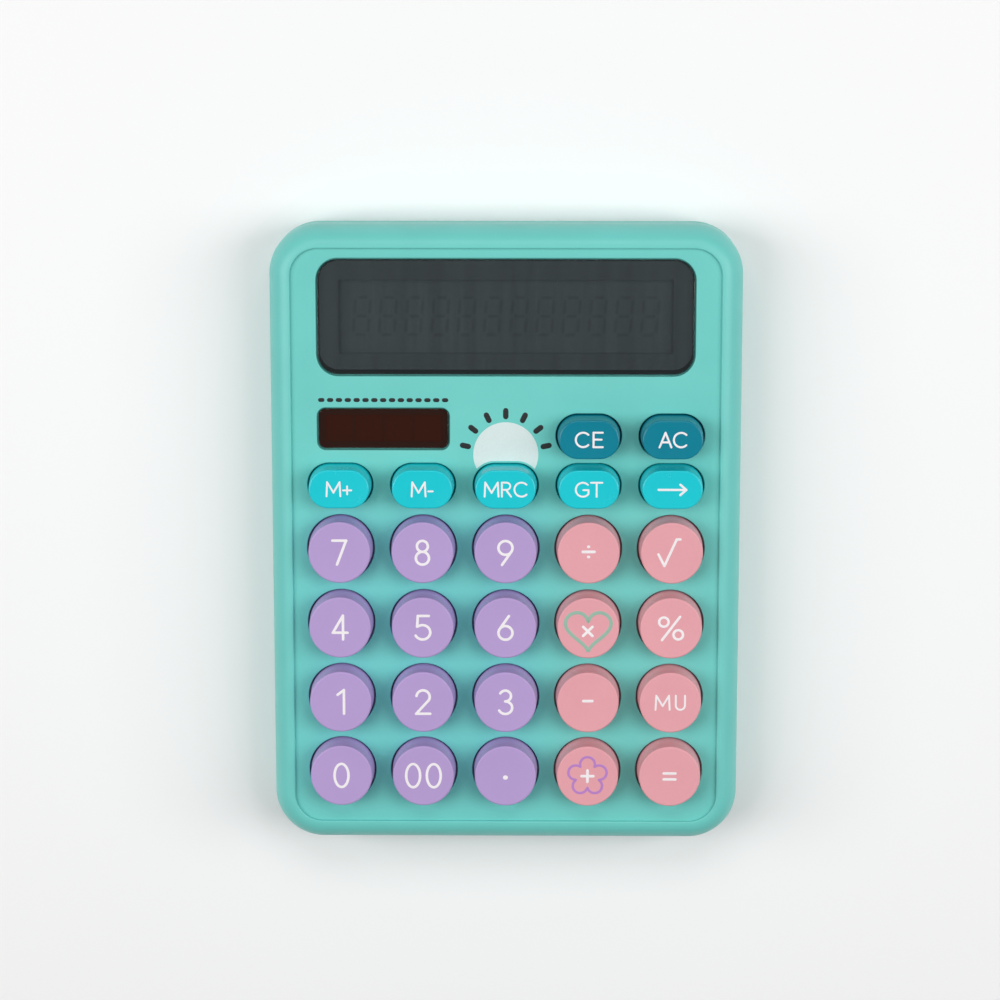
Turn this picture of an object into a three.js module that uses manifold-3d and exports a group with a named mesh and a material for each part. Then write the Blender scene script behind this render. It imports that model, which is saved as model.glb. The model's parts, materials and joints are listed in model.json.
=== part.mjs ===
/**
 * Twelve-digit desk calculator, as an assembly of separate parts.
 *
 * Units are millimetres, +Z is up. The calculator lies flat on a desk: the origin is on the desk
 * under the middle of the case, the user sits at -Y and the display is at the +Y end.
 *
 * Case: a top cover and a bottom cover that meet at half height and are held by six screws from
 * below. Twenty-seven caps stand up through the top cover on a one-piece silicone mat. The mat, the
 * display and the leads sit on a board that is screwed to posts under the top cover. The button
 * cell is reached through a screwed door in the bottom cover.
 */
import * as THREE from 'three';
import { mergeVertices } from 'three/addons/utils/BufferGeometryUtils.js';
import Module from 'manifold-3d';

// ---------------------------------------------------------------------------------------------
// Driving dimensions
// ---------------------------------------------------------------------------------------------

// Keys, seen from above.
const keyDiameter = 15.7; // round cap at its base
const columnGap = 4.3; // between neighbouring round caps, side to side
const rowGap = 2.8; // between neighbouring round caps, front to back
const ovalKeyWidth = 15.5;
const ovalKeyDepth = 9.6;
const ovalToRoundGap = 2.85; // rear round row to the first oval row
const ovalRowGap = 2.5; // first to second oval row
const roundRows = 4;
const columns = 5;

// Keys, seen from the side.
const keyProud = 6.3; // cap top above the panel
const keyTravel = 2.5;
const keyDraft = 0.35; // how far a cap's wall leans in, base to top
const keyEdge = 0.3; // chamfer round a cap's top
const keyWall = 1.3;
const keyRoof = 1.6;
const flangeOverhang = 0.5; // flange beyond the hole that it is caught under
const flangeThickness = 0.9;
const roundStemRadius = 2.4;
const ovalStemRadius = 1.6;

// Panel and rim.
const keyToRim = 3.75; // outer columns to the rim's inner line
const frontGap = 5.15; // front row to the rim's inner line
const keysToDisplay = 9.9; // rear oval row to the display window
const displayToRim = 2.6; // display window to the rim's inner line, at the rear
const displaySideMargin = 6.4; // display window to the rim's inner line, at each side
const rimWidth = 5.4;
const rimRise = 0.8; // rim crest above the panel
const cornerRadius = 12;
const topRollWidth = 5; // rounding of the upper edge, seen from above
const topRollHeight = 7;
const bottomRollWidth = 4;
const bottomRollHeight = 6.5;

// Windows.
const displayHeight = 27.8;
const displayCorner = 5;
const solarWidth = 31.4;
const solarHeight = 9.7;
const solarCorner = 1.8;
const solarOffset = 1.55; // solar window's middle behind the rear oval row's middle
const windowThickness = 1.3;
const windowSink = 0.2; // windows below the panel's face
const displayLedge = 3.4; // width of the step that the display window is glued to
const solarLedge = 1.0;

// Walls.
const sideWall = 2.2;
const floorWall = 2.2;
const panelWall = 2.4;
const lipThickness = 0.9; // tongue of the bottom cover inside the top cover
const lipHeight = 1.5;

// Inner pieces.
const boardThickness = 1.6;
const matSheet = 0.8;
const domeSpare = 0.7; // dome height beyond the key travel
const domeWall = 0.5;
const domeCrown = 0.55; // crown radius as a share of the foot's
const roundDomeInset = 1.5; // dome's foot inside the skirt of a round cap
const ovalDomeInset = 0.3;
const matBorder = 0.6;
const lcdThickness = 2.0;
const lcdInset = 1.6; // display glass inside the window's outline
const bracketWall = 1.0;
const bracketLedge = 1.0;
const zebraWidth = 2.0;
const solarCellThickness = 1.1;
const leadRadius = 0.45;
const leadInset = 2; // lead's end inside the solar cell's end
const leadSway = [1, 0.5]; // how far a lead bows out, along X and Y
const blobRadius = 6;
const blobHeight = 1.6;
const blobSlope = [[0.5, 0.85], [0.85, 0.5]]; // [share of radius, share of height] down its side

// Button cell and its door.
const cellDiameter = 11.6;
const cellHeight = 5.4;
const cellToBoard = 2.5;
const cellSleeveGap = 1.2; // room round the cell for its side contact
const cellSleeveWall = 1.2;
const doorWidth = 20;
const doorLength = 30;
const doorCorner = 2;
const doorThickness = 1.8;
const doorCentreY = 36;
const doorFrame = 2; // thickened floor around the door
const contactThickness = 0.3;
const contactWidth = 4;
const contactFlat = 3; // part of the minus contact that touches the cell
const contactLegGap = 2; // plus contact's foot above the cell's lower face
const cellEdge = 0.4;

// Feet and fasteners.
const footRadius = 4.5;
const footProud = 1.0;
const footRecess = 1.0;
const footEdge = 0.4;
const footInset = 10; // foot centre from the case's front and rear
const screwBossWall = 1.3;
const rootDepth = 0.5; // how far a post runs into the panel, and a boss into the floor
const caseScrew = { headRadius: 2.3, headHeight: 1.6, shankRadius: 1.3, length: 12.5 };
const boardScrew = { headRadius: 2.1, headHeight: 1.4, shankRadius: 1.0, length: 5.5 };
const doorScrew = { headRadius: 2.0, headHeight: 0.7, shankRadius: 0.9, length: 5.5 };
const counterboreDepth = 3.5;
const headDome = 0.25; // rounding of a screw's head, as a share of its height

// Clearances.
const gap = 0.3; // between pieces that touch in the assembled calculator
const keyGap = 0.35; // round a cap in its hole
const seamGap = 0.3; // between the two covers
const flangeToMat = 0.8; // left under a fully pressed key

// Facets.
const keySides = 14;
const domeSides = 6;
const screwSides = 8;
const discSides = 12;
const cornerSegments = 5;
const rollSegments = 4;

// ---------------------------------------------------------------------------------------------
// Sizes and places that follow
// ---------------------------------------------------------------------------------------------

const columnPitch = keyDiameter + columnGap;
const rowPitch = keyDiameter + rowGap;
const roundBlock = (roundRows - 1) * rowPitch + keyDiameter;
const panelWidth = (columns - 1) * columnPitch + keyDiameter + 2 * keyToRim;
const panelLength = frontGap + roundBlock + ovalToRoundGap + ovalKeyDepth + ovalRowGap
  + ovalKeyDepth + keysToDisplay + displayHeight + displayToRim;
const bodyWidth = panelWidth + 2 * rimWidth;
const bodyLength = panelLength + 2 * rimWidth;

// Rows of keys, from the front.
const firstRowY = -panelLength / 2 + frontGap + keyDiameter / 2;
const lastRoundEdgeY = firstRowY + (roundRows - 1) * rowPitch + keyDiameter / 2;
const memoryRowY = lastRoundEdgeY + ovalToRoundGap + ovalKeyDepth / 2;
const clearRowY = memoryRowY + ovalRowGap + ovalKeyDepth;

// Windows.
const displayWidth = panelWidth - 2 * displaySideMargin;
const displayFrontY = clearRowY + ovalKeyDepth / 2 + keysToDisplay;
const displayCentreY = displayFrontY + displayHeight / 2;
const solarCentreX = (-displayWidth + solarWidth) / 2;
const solarCentreY = clearRowY + solarOffset;

// Heights, from the desk up.
const undersideZ = footProud;
const floorZ = undersideZ + floorWall;
const cellZ = undersideZ + doorThickness + gap;
const boardZ = cellZ + cellHeight + cellToBoard;
const boardTopZ = boardZ + boardThickness;
const matZ = boardTopZ + gap;
const matTopZ = matZ + matSheet;
const domeTopZ = matTopZ + keyTravel + domeSpare;
const stemZ = domeTopZ + gap;
const skirtZ = matTopZ + keyTravel + flangeToMat;
const flangeTopZ = skirtZ + flangeThickness;
const panelUnderZ = flangeTopZ + gap;
const panelZ = panelUnderZ + panelWall;
const rimZ = panelZ + rimRise;
const seamZ = (undersideZ + rimZ) / 2;
const windowTopZ = panelZ - windowSink;
const windowZ = windowTopZ - windowThickness;
const windowSeatZ = windowZ - gap;
const lcdTopZ = panelUnderZ - gap;
const lcdZ = lcdTopZ - lcdThickness;
const solarCellTopZ = windowZ - gap;

/** The two cap shapes: an oval is a small round one drawn out sideways. */
const capShapes = {
  round: {
    radius: keyDiameter / 2,
    halfStretch: 0,
    stemRadius: roundStemRadius,
    domeRadius: keyDiameter / 2 - keyWall - roundDomeInset,
  },
  oval: {
    radius: ovalKeyDepth / 2,
    halfStretch: (ovalKeyWidth - ovalKeyDepth) / 2,
    stemRadius: ovalStemRadius,
    domeRadius: ovalKeyDepth / 2 - keyWall - ovalDomeInset,
  },
};

const boardHalfWidth = ((columns - 1) / 2) * columnPitch + capShapes.round.domeRadius + matBorder;
const matFrontY = firstRowY - capShapes.round.domeRadius - matBorder;
const matStepY = memoryRowY + ovalKeyDepth / 2 + matBorder;
const matRearY = clearRowY + ovalKeyDepth / 2 + matBorder;
const matStepX = columnPitch / 2;
const lcdWidth = displayWidth - 2 * lcdInset;
const lcdLength = displayHeight - 2 * lcdInset;
const bracketWidth = lcdWidth + 2 * (gap + bracketWall);
const bracketLength = lcdLength + 2 * (gap + bracketWall);
const boardFrontY = matFrontY;
const boardRearY = displayCentreY + bracketLength / 2 + matBorder;

// Screws and feet.
const caseBossRadius = caseScrew.shankRadius + gap + screwBossWall;
const counterboreRadius = caseScrew.headRadius + gap;
const caseBaseRadius = counterboreRadius + screwBossWall;
const caseScrewX = boardHalfWidth + gap + caseBossRadius;
const firstGapY = firstRowY + rowPitch / 2;
const lastGapY = firstRowY + (roundRows - 1.5) * rowPitch;
const caseScrewRows = [displayCentreY, lastGapY, firstGapY];
const boardBossRadius = boardScrew.shankRadius + gap + screwBossWall;
const boardScrewX = 1.5 * columnPitch;
const boardScrewRows = [displayFrontY - keysToDisplay / 2 + gap, firstGapY];
const headSeatZ = undersideZ + counterboreDepth;
const footX = caseScrewX - caseBaseRadius - footRadius + screwBossWall;
const footY = bodyLength / 2 - footInset;
const cellY = doorCentreY + (doorLength - cellDiameter) / 2 - 2 * cellSleeveGap - cellSleeveWall;
const doorScrewY = doorCentreY - doorLength / 2 + doorScrew.headRadius + doorCorner + gap;
const doorScrewSeatZ = undersideZ + doorScrew.headHeight + gap;
const sleeveRadius = cellDiameter / 2 + cellSleeveGap;

const colours = {
  mint: 0x78cfc4,
  lilac: 0xb8a1d0,
  pink: 0xe0a4aa,
  turquoise: 0x2cc8d6,
  deepTeal: 0x00829e,
  smokedWindow: 0x3e4749,
  glass: 0x5c6a66,
  solarGlass: 0x381e13,
  silicone: 0xd8dcdc,
  board: 0x1f6b43,
  blackResin: 0x141416,
  whitePlastic: 0xe6e6e2,
  steel: 0xb9bcc0,
  nickel: 0xc9c6bd,
  rubber: 0x2b2d2f,
  redLead: 0xb32424,
  blackLead: 0x1c1c1e,
};

/** Caps from the rear row to the front, by the ends of their names: an empty one leaves a place free. */
const keyPlan = [
  { y: clearRowY, shape: 'oval', names: ['', '', '', 'ce', 'ac'] },
  { y: memoryRowY, shape: 'oval', names: ['m_plus', 'm_minus', 'mrc', 'gt', 'backspace'] },
  { y: firstRowY + 3 * rowPitch, shape: 'round', names: ['7', '8', '9', 'divide', 'root'] },
  { y: firstRowY + 2 * rowPitch, shape: 'round', names: ['4', '5', '6', 'multiply', 'percent'] },
  { y: firstRowY + rowPitch, shape: 'round', names: ['1', '2', '3', 'minus', 'mu'] },
  { y: firstRowY, shape: 'round', names: ['0', '00', 'point', 'plus', 'equals'] },
];
const firstOperatorColumn = 3;

/** Every key as { name, x, y, shape, colour }. */
const keys = keyPlan.flatMap(({ y, shape, names }) => names
  .map((name, column) => ({
    name: name && `key_${name}`,
    x: (column - (columns - 1) / 2) * columnPitch,
    y,
    shape: capShapes[shape],
    colour: keyColour(y, column),
  }))
  .filter(({ name }) => name));

/** Colour of a cap by its row and column. */
function keyColour(y, column) {
  if (y === clearRowY) return colours.deepTeal;
  if (y === memoryRowY) return colours.turquoise;
  return column < firstOperatorColumn ? colours.lilac : colours.pink;
}

// ---------------------------------------------------------------------------------------------
// Shapes
// ---------------------------------------------------------------------------------------------

const wasm = await Module();
wasm.setup();

/** A rectangle with round corners, centred at (x, y). */
function roundedRectangle(width, length, radius, x = 0, y = 0) {
  const outline = new THREE.Shape();
  const dx = width / 2 - radius;
  const dy = length / 2 - radius;
  outline.absarc(x + dx, y - dy, radius, -Math.PI / 2, 0);
  outline.absarc(x + dx, y + dy, radius, 0, Math.PI / 2);
  outline.absarc(x - dx, y + dy, radius, Math.PI / 2, Math.PI);
  outline.absarc(x - dx, y - dy, radius, Math.PI, 1.5 * Math.PI);
  return outline;
}

/** A straight-sided outline through [x, y] corners, counter-clockwise. */
function polygon(corners) {
  return new THREE.Shape(corners.map(([x, y]) => new THREE.Vector2(x, y)));
}

/** A rectangle between two corners. */
function rectangle(x0, x1, y0, y1) {
  return polygon([[x0, y0], [x1, y0], [x1, y1], [x0, y1]]);
}

/** A sharp-cornered rectangle centred at (x, y). */
function plate(width, length, x = 0, y = 0) {
  return rectangle(x - width / 2, x + width / 2, y - length / 2, y + length / 2);
}

/** An outline raised between two heights. */
function prism(outline, bottom, top) {
  const geometry = new THREE.ExtrudeGeometry(outline, {
    depth: top - bottom,
    bevelEnabled: false,
    curveSegments: cornerSegments,
  });
  return geometry.translate(0, 0, bottom);
}

/** An outline raised between two heights, with both edges rolled over in a quarter ellipse. */
function pillow(outline, bottom, top, rollWidth, rollHeight) {
  const geometry = new THREE.ExtrudeGeometry(outline, {
    depth: top - bottom - 2 * rollHeight,
    bevelEnabled: true,
    bevelSize: rollWidth,
    bevelOffset: -rollWidth,
    bevelThickness: rollHeight,
    bevelSegments: rollSegments,
    curveSegments: cornerSegments,
  });
  return geometry.translate(0, 0, bottom + rollHeight);
}

/**
 * A turned piece about +Z from [radius, z] pairs that start and end on the axis.
 * halfStretch moves its two halves apart along X, which makes an oval of it.
 */
function turned(profile, sides, halfStretch = 0) {
  const points = profile.map(([radius, z]) => new THREE.Vector2(radius, z));
  const geometry = new THREE.LatheGeometry(points, sides, Math.PI / sides);
  geometry.rotateX(Math.PI / 2);
  const position = geometry.attributes.position;
  for (let i = 0; i < position.count; i += 1) {
    const x = position.getX(i);
    const onAxis = Math.abs(x) < 1e-6;
    position.setX(i, onAxis ? 0 : x + Math.sign(x) * halfStretch);
  }
  return geometry;
}

/** An upright cylinder, or an oval one, at (x, y). */
function post(radius, bottom, top, sides, x = 0, y = 0, halfStretch = 0) {
  const profile = [[0, bottom], [radius, bottom], [radius, top], [0, top]];
  return turned(profile, sides, halfStretch).translate(x, y, 0);
}

/** The closed solid of a geometry: shared corners merged, flat triangles dropped. */
function solid(geometry) {
  const bare = geometry.clone();
  bare.deleteAttribute('normal');
  bare.deleteAttribute('uv');
  const merged = mergeVertices(bare, 1e-4);
  const corners = merged.index.array;
  const kept = [];
  for (let i = 0; i < corners.length; i += 3) {
    const [a, b, c] = corners.slice(i, i + 3);
    if (a !== b && b !== c && c !== a) kept.push(a, b, c);
  }
  return new wasm.Manifold(new wasm.Mesh({
    numProp: 3,
    vertProperties: merged.attributes.position.array,
    triVerts: Uint32Array.from(kept),
  }));
}

/** One solid of several geometries. */
function joined(geometries) {
  return geometries.map(solid).reduce((whole, piece) => whole.add(piece));
}

/** What is left of some geometries after others are cut out of them. */
function carved(bodies, tools) {
  return tools.map(solid).reduce((whole, tool) => whole.subtract(tool), joined(bodies));
}

/** A named mesh of a solid, placed at (x, y, z). */
function piece(name, shape, colour, { roughness = 0.5, metalness = 0, x = 0, y = 0, z = 0 } = {}) {
  const { vertProperties, triVerts } = shape.getMesh();
  const geometry = new THREE.BufferGeometry();
  geometry.setAttribute('position', new THREE.BufferAttribute(vertProperties, 3));
  geometry.setIndex(new THREE.BufferAttribute(triVerts, 1));
  geometry.computeVertexNormals();
  const material = new THREE.MeshStandardMaterial({ color: colour, roughness, metalness });
  const mesh = new THREE.Mesh(geometry, material);
  mesh.name = name;
  mesh.position.set(x, y, z);
  return mesh;
}

/** Places on both sides of the middle, for each of some rows: [x, y] pairs. */
function mirroredPlaces(x, rows) {
  return rows.flatMap((y) => [[-x, y], [x, y]]);
}

// ---------------------------------------------------------------------------------------------
// Case
// ---------------------------------------------------------------------------------------------

const bodyOutline = roundedRectangle(bodyWidth, bodyLength, cornerRadius);
const caseScrewPlaces = mirroredPlaces(caseScrewX, caseScrewRows);
const boardScrewPlaces = mirroredPlaces(boardScrewX, boardScrewRows);
const caseBossTopZ = seamZ - lipHeight;

/** The body's outline moved inwards, as a shape. */
function insetOutline(inset) {
  return roundedRectangle(bodyWidth - 2 * inset, bodyLength - 2 * inset, cornerRadius - inset);
}

/** A slab over the whole plan between two heights, for cutting the covers at the seam. */
function wholePlan(bottom, top) {
  return prism(rectangle(-bodyWidth, bodyWidth, -bodyLength, bodyLength), bottom, top);
}

/** The hole that a key's cap moves in. */
function keyHole({ x, y, shape }) {
  return post(shape.radius + keyGap, panelUnderZ - 1, rimZ + 1, keySides, x, y, shape.halfStretch);
}

/** Top cover: rolled edge, raised rim, panel with key holes and window seats, screw posts. */
function topCover() {
  const outer = pillow(bodyOutline, undersideZ, rimZ, topRollWidth, topRollHeight);
  const innerRollWidth = topRollWidth - sideWall / 2;
  const innerRollHeight = Math.min(topRollHeight, rimZ - seamZ) - panelWall;
  const hollow = pillow(insetOutline(sideWall), undersideZ, panelUnderZ, innerRollWidth, innerRollHeight);
  const shell = carved([outer], [
    hollow,
    wholePlan(undersideZ - 1, seamZ + seamGap / 2),
    prism(insetOutline(sideWall - lipThickness - gap), seamZ, seamZ + lipHeight + gap),
    prism(insetOutline(rimWidth), panelZ, rimZ + 1),
  ]);
  const posts = [
    ...caseScrewPlaces.map(([x, y]) => (
      post(caseBossRadius, caseBossTopZ + gap, panelUnderZ + rootDepth, screwSides, x, y))),
    ...boardScrewPlaces.map(([x, y]) => (
      post(boardBossRadius, boardTopZ + gap, panelUnderZ + rootDepth, screwSides, x, y))),
  ];
  const bores = [
    ...caseScrewPlaces.map(([x, y]) => (
      post(caseScrew.shankRadius + gap, undersideZ, headSeatZ + caseScrew.length, screwSides, x, y))),
    ...boardScrewPlaces.map(([x, y]) => (
      post(boardScrew.shankRadius + gap, undersideZ, boardZ + boardScrew.length, screwSides, x, y))),
  ];
  const windows = [
    ...windowSeat(displayWidth, displayHeight, displayCorner, displayLedge, 0, displayCentreY),
    ...windowSeat(solarWidth, solarHeight, solarCorner, solarLedge, solarCentreX, solarCentreY),
  ];
  const cuts = joined([...bores, ...windows, ...keys.map(keyHole)]);
  return piece('top_cover', shell.add(joined(posts)).subtract(cuts), colours.mint, { roughness: 0.42 });
}

/** Stepped opening that a window is glued into: its recess and the smaller hole through the ledge. */
function windowSeat(width, height, corner, ledge, x, y) {
  return [
    prism(roundedRectangle(width + 2 * gap, height + 2 * gap, corner + gap, x, y), windowSeatZ, rimZ),
    prism(plate(width - 2 * ledge, height - 2 * ledge, x, y), panelUnderZ - 1, rimZ),
  ];
}

/** Bottom cover: rolled edge, lip, screw bases, foot recesses, cell sleeve and door seat. */
function bottomCover() {
  const outer = pillow(bodyOutline, undersideZ, rimZ, bottomRollWidth, bottomRollHeight);
  const innerRollWidth = bottomRollWidth - sideWall / 2;
  const innerRollHeight = bottomRollHeight - floorWall;
  const hollowTop = rimZ + bottomRollHeight;
  const hollow = pillow(insetOutline(sideWall), floorZ, hollowTop, innerRollWidth, innerRollHeight);
  const shell = carved([outer], [hollow, wholePlan(seamZ - seamGap / 2, rimZ + 1)]);
  const lip = carved(
    [prism(insetOutline(sideWall - lipThickness), seamZ - lipHeight, seamZ + lipHeight)],
    [prism(insetOutline(sideWall), seamZ - lipHeight - 1, seamZ + lipHeight + 1)],
  );
  const bases = joined([
    ...caseScrewPlaces.map(([x, y]) => (
      post(caseBaseRadius, floorZ - rootDepth, caseBossTopZ, screwSides, x, y))),
    prism(
      plate(doorWidth + 2 * doorFrame, doorLength + 2 * doorFrame, 0, doorCentreY),
      floorZ - rootDepth,
      floorZ + doorFrame,
    ),
    post(sleeveRadius + cellSleeveWall, floorZ - rootDepth, cellZ + cellHeight, discSides, 0, cellY),
    post(doorScrew.shankRadius + gap + screwBossWall, floorZ - rootDepth,
      doorScrewSeatZ + doorScrew.length + 1, screwSides, 0, doorScrewY),
  ]);
  const cuts = joined([
    ...caseScrewPlaces.map(([x, y]) => (
      post(counterboreRadius, undersideZ - 1, headSeatZ, screwSides, x, y))),
    ...caseScrewPlaces.map(([x, y]) => (
      post(caseScrew.shankRadius + gap, undersideZ, seamZ, screwSides, x, y))),
    ...mirroredPlaces(footX, [-footY, footY]).map(([x, y]) => (
      post(footRadius + gap, undersideZ - 1, undersideZ + footRecess, discSides, x, y))),
    prism(roundedRectangle(doorWidth + 2 * gap, doorLength + 2 * gap, doorCorner + gap, 0, doorCentreY),
      undersideZ - 1, undersideZ + doorThickness + gap),
    post(sleeveRadius, undersideZ, boardZ, discSides, 0, cellY),
    post(doorScrew.shankRadius + gap, undersideZ, doorScrewSeatZ + doorScrew.length + gap,
      screwSides, 0, doorScrewY),
  ]);
  return piece('bottom_cover', shell.add(lip).add(bases).subtract(cuts), colours.mint, { roughness: 0.5 });
}

/** Battery door: a flush plate with a counterbored screw hole. */
function batteryDoor() {
  const outline = roundedRectangle(doorWidth, doorLength, doorCorner, 0, doorCentreY);
  const innerFaceZ = undersideZ + doorThickness;
  const shape = carved([prism(outline, undersideZ, innerFaceZ)], [
    post(doorScrew.headRadius + gap, undersideZ - 1, doorScrewSeatZ, screwSides, 0, doorScrewY),
    post(doorScrew.shankRadius + gap, undersideZ, innerFaceZ + 1, screwSides, 0, doorScrewY),
  ]);
  return piece('battery_door', shape, colours.mint, { roughness: 0.5 });
}

/** The four rubber feet, seated in the bottom cover's recesses. */
function feet() {
  const height = footProud + footRecess - gap;
  const shape = solid(turned(
    [[0, 0], [footRadius - footEdge, 0], [footRadius, footEdge], [footRadius, height], [0, height]],
    discSides,
  ));
  const places = { front_left: [-1, -1], front_right: [1, -1], rear_left: [-1, 1], rear_right: [1, 1] };
  return Object.entries(places).map(([name, [sideX, sideY]]) => {
    const place = { x: sideX * footX, y: sideY * footY };
    return piece(`foot_${name}`, shape, colours.rubber, { roughness: 0.85, ...place });
  });
}

/** A pan-head screw that points up, its head's bearing face at z = 0. */
function screwShape({ headRadius, headHeight, shankRadius, length }) {
  const dome = headDome * headHeight;
  return solid(turned([
    [0, -headHeight],
    [headRadius - dome, -headHeight],
    [headRadius, dome - headHeight],
    [headRadius, 0],
    [shankRadius, 0],
    [shankRadius, length - 2 * shankRadius],
    [0, length - shankRadius],
  ], screwSides));
}

/** A screw of one kind, at a place, its head bearing at a height. */
function screw(name, kind, [x, y], bearingZ) {
  return piece(name, screwShape(kind), colours.steel, { roughness: 0.3, metalness: 1, x, y, z: bearingZ });
}

/** Numbered screws of one kind. */
function screws(name, kind, places, bearingZ) {
  return places.map((place, index) => screw(`${name}_${index + 1}`, kind, place, bearingZ));
}

// ---------------------------------------------------------------------------------------------
// Keys
// ---------------------------------------------------------------------------------------------

/** A hollow cap with a stem inside and a flange that the top cover holds; z = 0 is the panel. */
function capShape({ radius, halfStretch, stemRadius }) {
  const [stem, skirt, flange] = [stemZ, skirtZ, flangeTopZ].map((z) => z - panelZ);
  const roof = keyProud - keyRoof;
  const inner = radius - keyWall;
  const flangeRadius = radius + keyGap + flangeOverhang;
  const topRadius = radius - keyDraft;
  return solid(turned([
    [0, stem],
    [stemRadius, stem],
    [stemRadius, roof],
    [inner, roof],
    [inner, skirt],
    [flangeRadius, skirt],
    [flangeRadius, flange],
    [radius, flange],
    [topRadius, keyProud - keyEdge],
    [topRadius - keyEdge, keyProud],
    [0, keyProud],
  ], keySides, halfStretch));
}

/** All the caps. */
function caps() {
  const shapes = new Map(Object.values(capShapes).map((shape) => [shape, capShape(shape)]));
  return keys.map(({ name, x, y, shape, colour }) => (
    piece(name, shapes.get(shape), colour, { roughness: 0.38, x, y, z: panelZ })));
}

/** Silicone mat: one sheet with a hollow dome under each cap. */
function keyMat() {
  const sheet = prism(polygon([
    [-boardHalfWidth, matFrontY],
    [boardHalfWidth, matFrontY],
    [boardHalfWidth, matRearY],
    [matStepX, matRearY],
    [matStepX, matStepY],
    [-boardHalfWidth, matStepY],
  ]), matZ, matTopZ);
  const domeAt = ({ x, y, shape }, inset, top) => {
    const foot = shape.domeRadius - inset;
    const crown = domeCrown * shape.domeRadius - inset;
    return turned([[0, matZ], [foot, matZ], [foot, matTopZ], [crown, top], [0, top]], domeSides)
      .translate(x, y, 0);
  };
  const domes = joined(keys.map((key) => domeAt(key, 0, domeTopZ)));
  const hollows = joined(keys.map((key) => domeAt(key, domeWall, domeTopZ - 2 * domeWall)));
  const holes = joined(boardScrewPlaces.map(([x, y]) => (
    post(boardBossRadius + gap, matZ - 1, matTopZ + 1, screwSides, x, y))));
  const shape = solid(sheet).add(domes).subtract(hollows).subtract(holes);
  return piece('key_mat', shape, colours.silicone, { roughness: 0.7 });
}

// ---------------------------------------------------------------------------------------------
// Display, solar cell, board and cell
// ---------------------------------------------------------------------------------------------

/** The two clear windows, glued into the panel. */
function windows() {
  const display = roundedRectangle(displayWidth, displayHeight, displayCorner, 0, displayCentreY);
  const solar = roundedRectangle(solarWidth, solarHeight, solarCorner, solarCentreX, solarCentreY);
  return [
    piece('display_window', solid(prism(display, windowZ, windowTopZ)), colours.smokedWindow, {
      roughness: 0.08,
    }),
    piece('solar_window', solid(prism(solar, windowZ, windowTopZ)), colours.solarGlass, {
      roughness: 0.1,
    }),
  ];
}

/** Display glass, the bracket that carries it and the rubber connector under its front edge. */
function displayModule() {
  const glassOutline = plate(lcdWidth, lcdLength, 0, displayCentreY);
  const lcdFrontY = displayCentreY - lcdLength / 2;
  const openingWidth = lcdWidth - 2 * bracketLedge;
  const openingLength = lcdLength - 2 * bracketLedge;
  const bracket = carved(
    [prism(plate(bracketWidth, bracketLength, 0, displayCentreY), boardTopZ + gap, lcdTopZ)],
    [
      prism(plate(lcdWidth + 2 * gap, lcdLength + 2 * gap, 0, displayCentreY), lcdZ - gap, rimZ),
      prism(plate(openingWidth, openingLength, 0, displayCentreY), boardZ, rimZ),
    ],
  );
  const zebraY = lcdFrontY + bracketLedge + gap;
  const zebraHalf = openingWidth / 2 - gap;
  const zebraOutline = rectangle(-zebraHalf, zebraHalf, zebraY, zebraY + zebraWidth);
  const zebra = prism(zebraOutline, boardTopZ + gap, lcdZ - gap);
  return [
    piece('lcd_panel', solid(prism(glassOutline, lcdZ, lcdTopZ)), colours.glass, { roughness: 0.15 }),
    piece('lcd_bracket', bracket, colours.whitePlastic, { roughness: 0.6 }),
    piece('zebra_strip', solid(zebra), colours.blackResin, { roughness: 0.8 }),
  ];
}

/** Solar cell under its window, and the two leads down to the board. */
function solarModule() {
  const inset = solarLedge + gap;
  const cellHalf = solarWidth / 2 - inset;
  const bottomZ = solarCellTopZ - solarCellThickness;
  const cellOutline = plate(2 * cellHalf, solarHeight - 2 * inset, solarCentreX, solarCentreY);
  const lead = (name, colour, x, sway) => {
    const [low, high] = [boardTopZ + gap, bottomZ - gap];
    const path = new THREE.CatmullRomCurve3([
      new THREE.Vector3(x, solarCentreY, high),
      new THREE.Vector3(x + sway, solarCentreY + leadSway[1], (low + high) / 2),
      new THREE.Vector3(x, solarCentreY, low),
    ]);
    const section = new THREE.Shape().absarc(0, 0, leadRadius, 0, 2 * Math.PI);
    const geometry = new THREE.ExtrudeGeometry(section, { steps: 5, curveSegments: 8, extrudePath: path });
    return piece(name, solid(geometry), colour, { roughness: 0.6 });
  };
  return [
    piece('solar_cell', solid(prism(cellOutline, bottomZ, solarCellTopZ)), colours.blackResin, {
      roughness: 0.2,
    }),
    lead('solar_lead_plus', colours.redLead, solarCentreX - cellHalf + leadInset, leadSway[0]),
    lead('solar_lead_minus', colours.blackLead, solarCentreX + cellHalf - leadInset, -leadSway[0]),
  ];
}

/** Circuit board with screw holes, and the resin blob over its chip. */
function board() {
  const outline = rectangle(-boardHalfWidth, boardHalfWidth, boardFrontY, boardRearY);
  const shape = carved([prism(outline, boardZ, boardTopZ)], boardScrewPlaces.map(([x, y]) => (
    post(boardScrew.shankRadius + gap, boardZ - 1, boardTopZ + 1, screwSides, x, y))));
  const blob = solid(turned([
    [0, -blobHeight],
    ...blobSlope.map(([across, up]) => [across * blobRadius, -up * blobHeight]),
    [blobRadius, 0],
    [0, 0],
  ], discSides));
  return [
    piece('main_board', shape, colours.board, { roughness: 0.5 }),
    piece('chip_blob', blob, colours.blackResin, { roughness: 0.25, y: lastGapY, z: boardZ - gap }),
  ];
}

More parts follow.
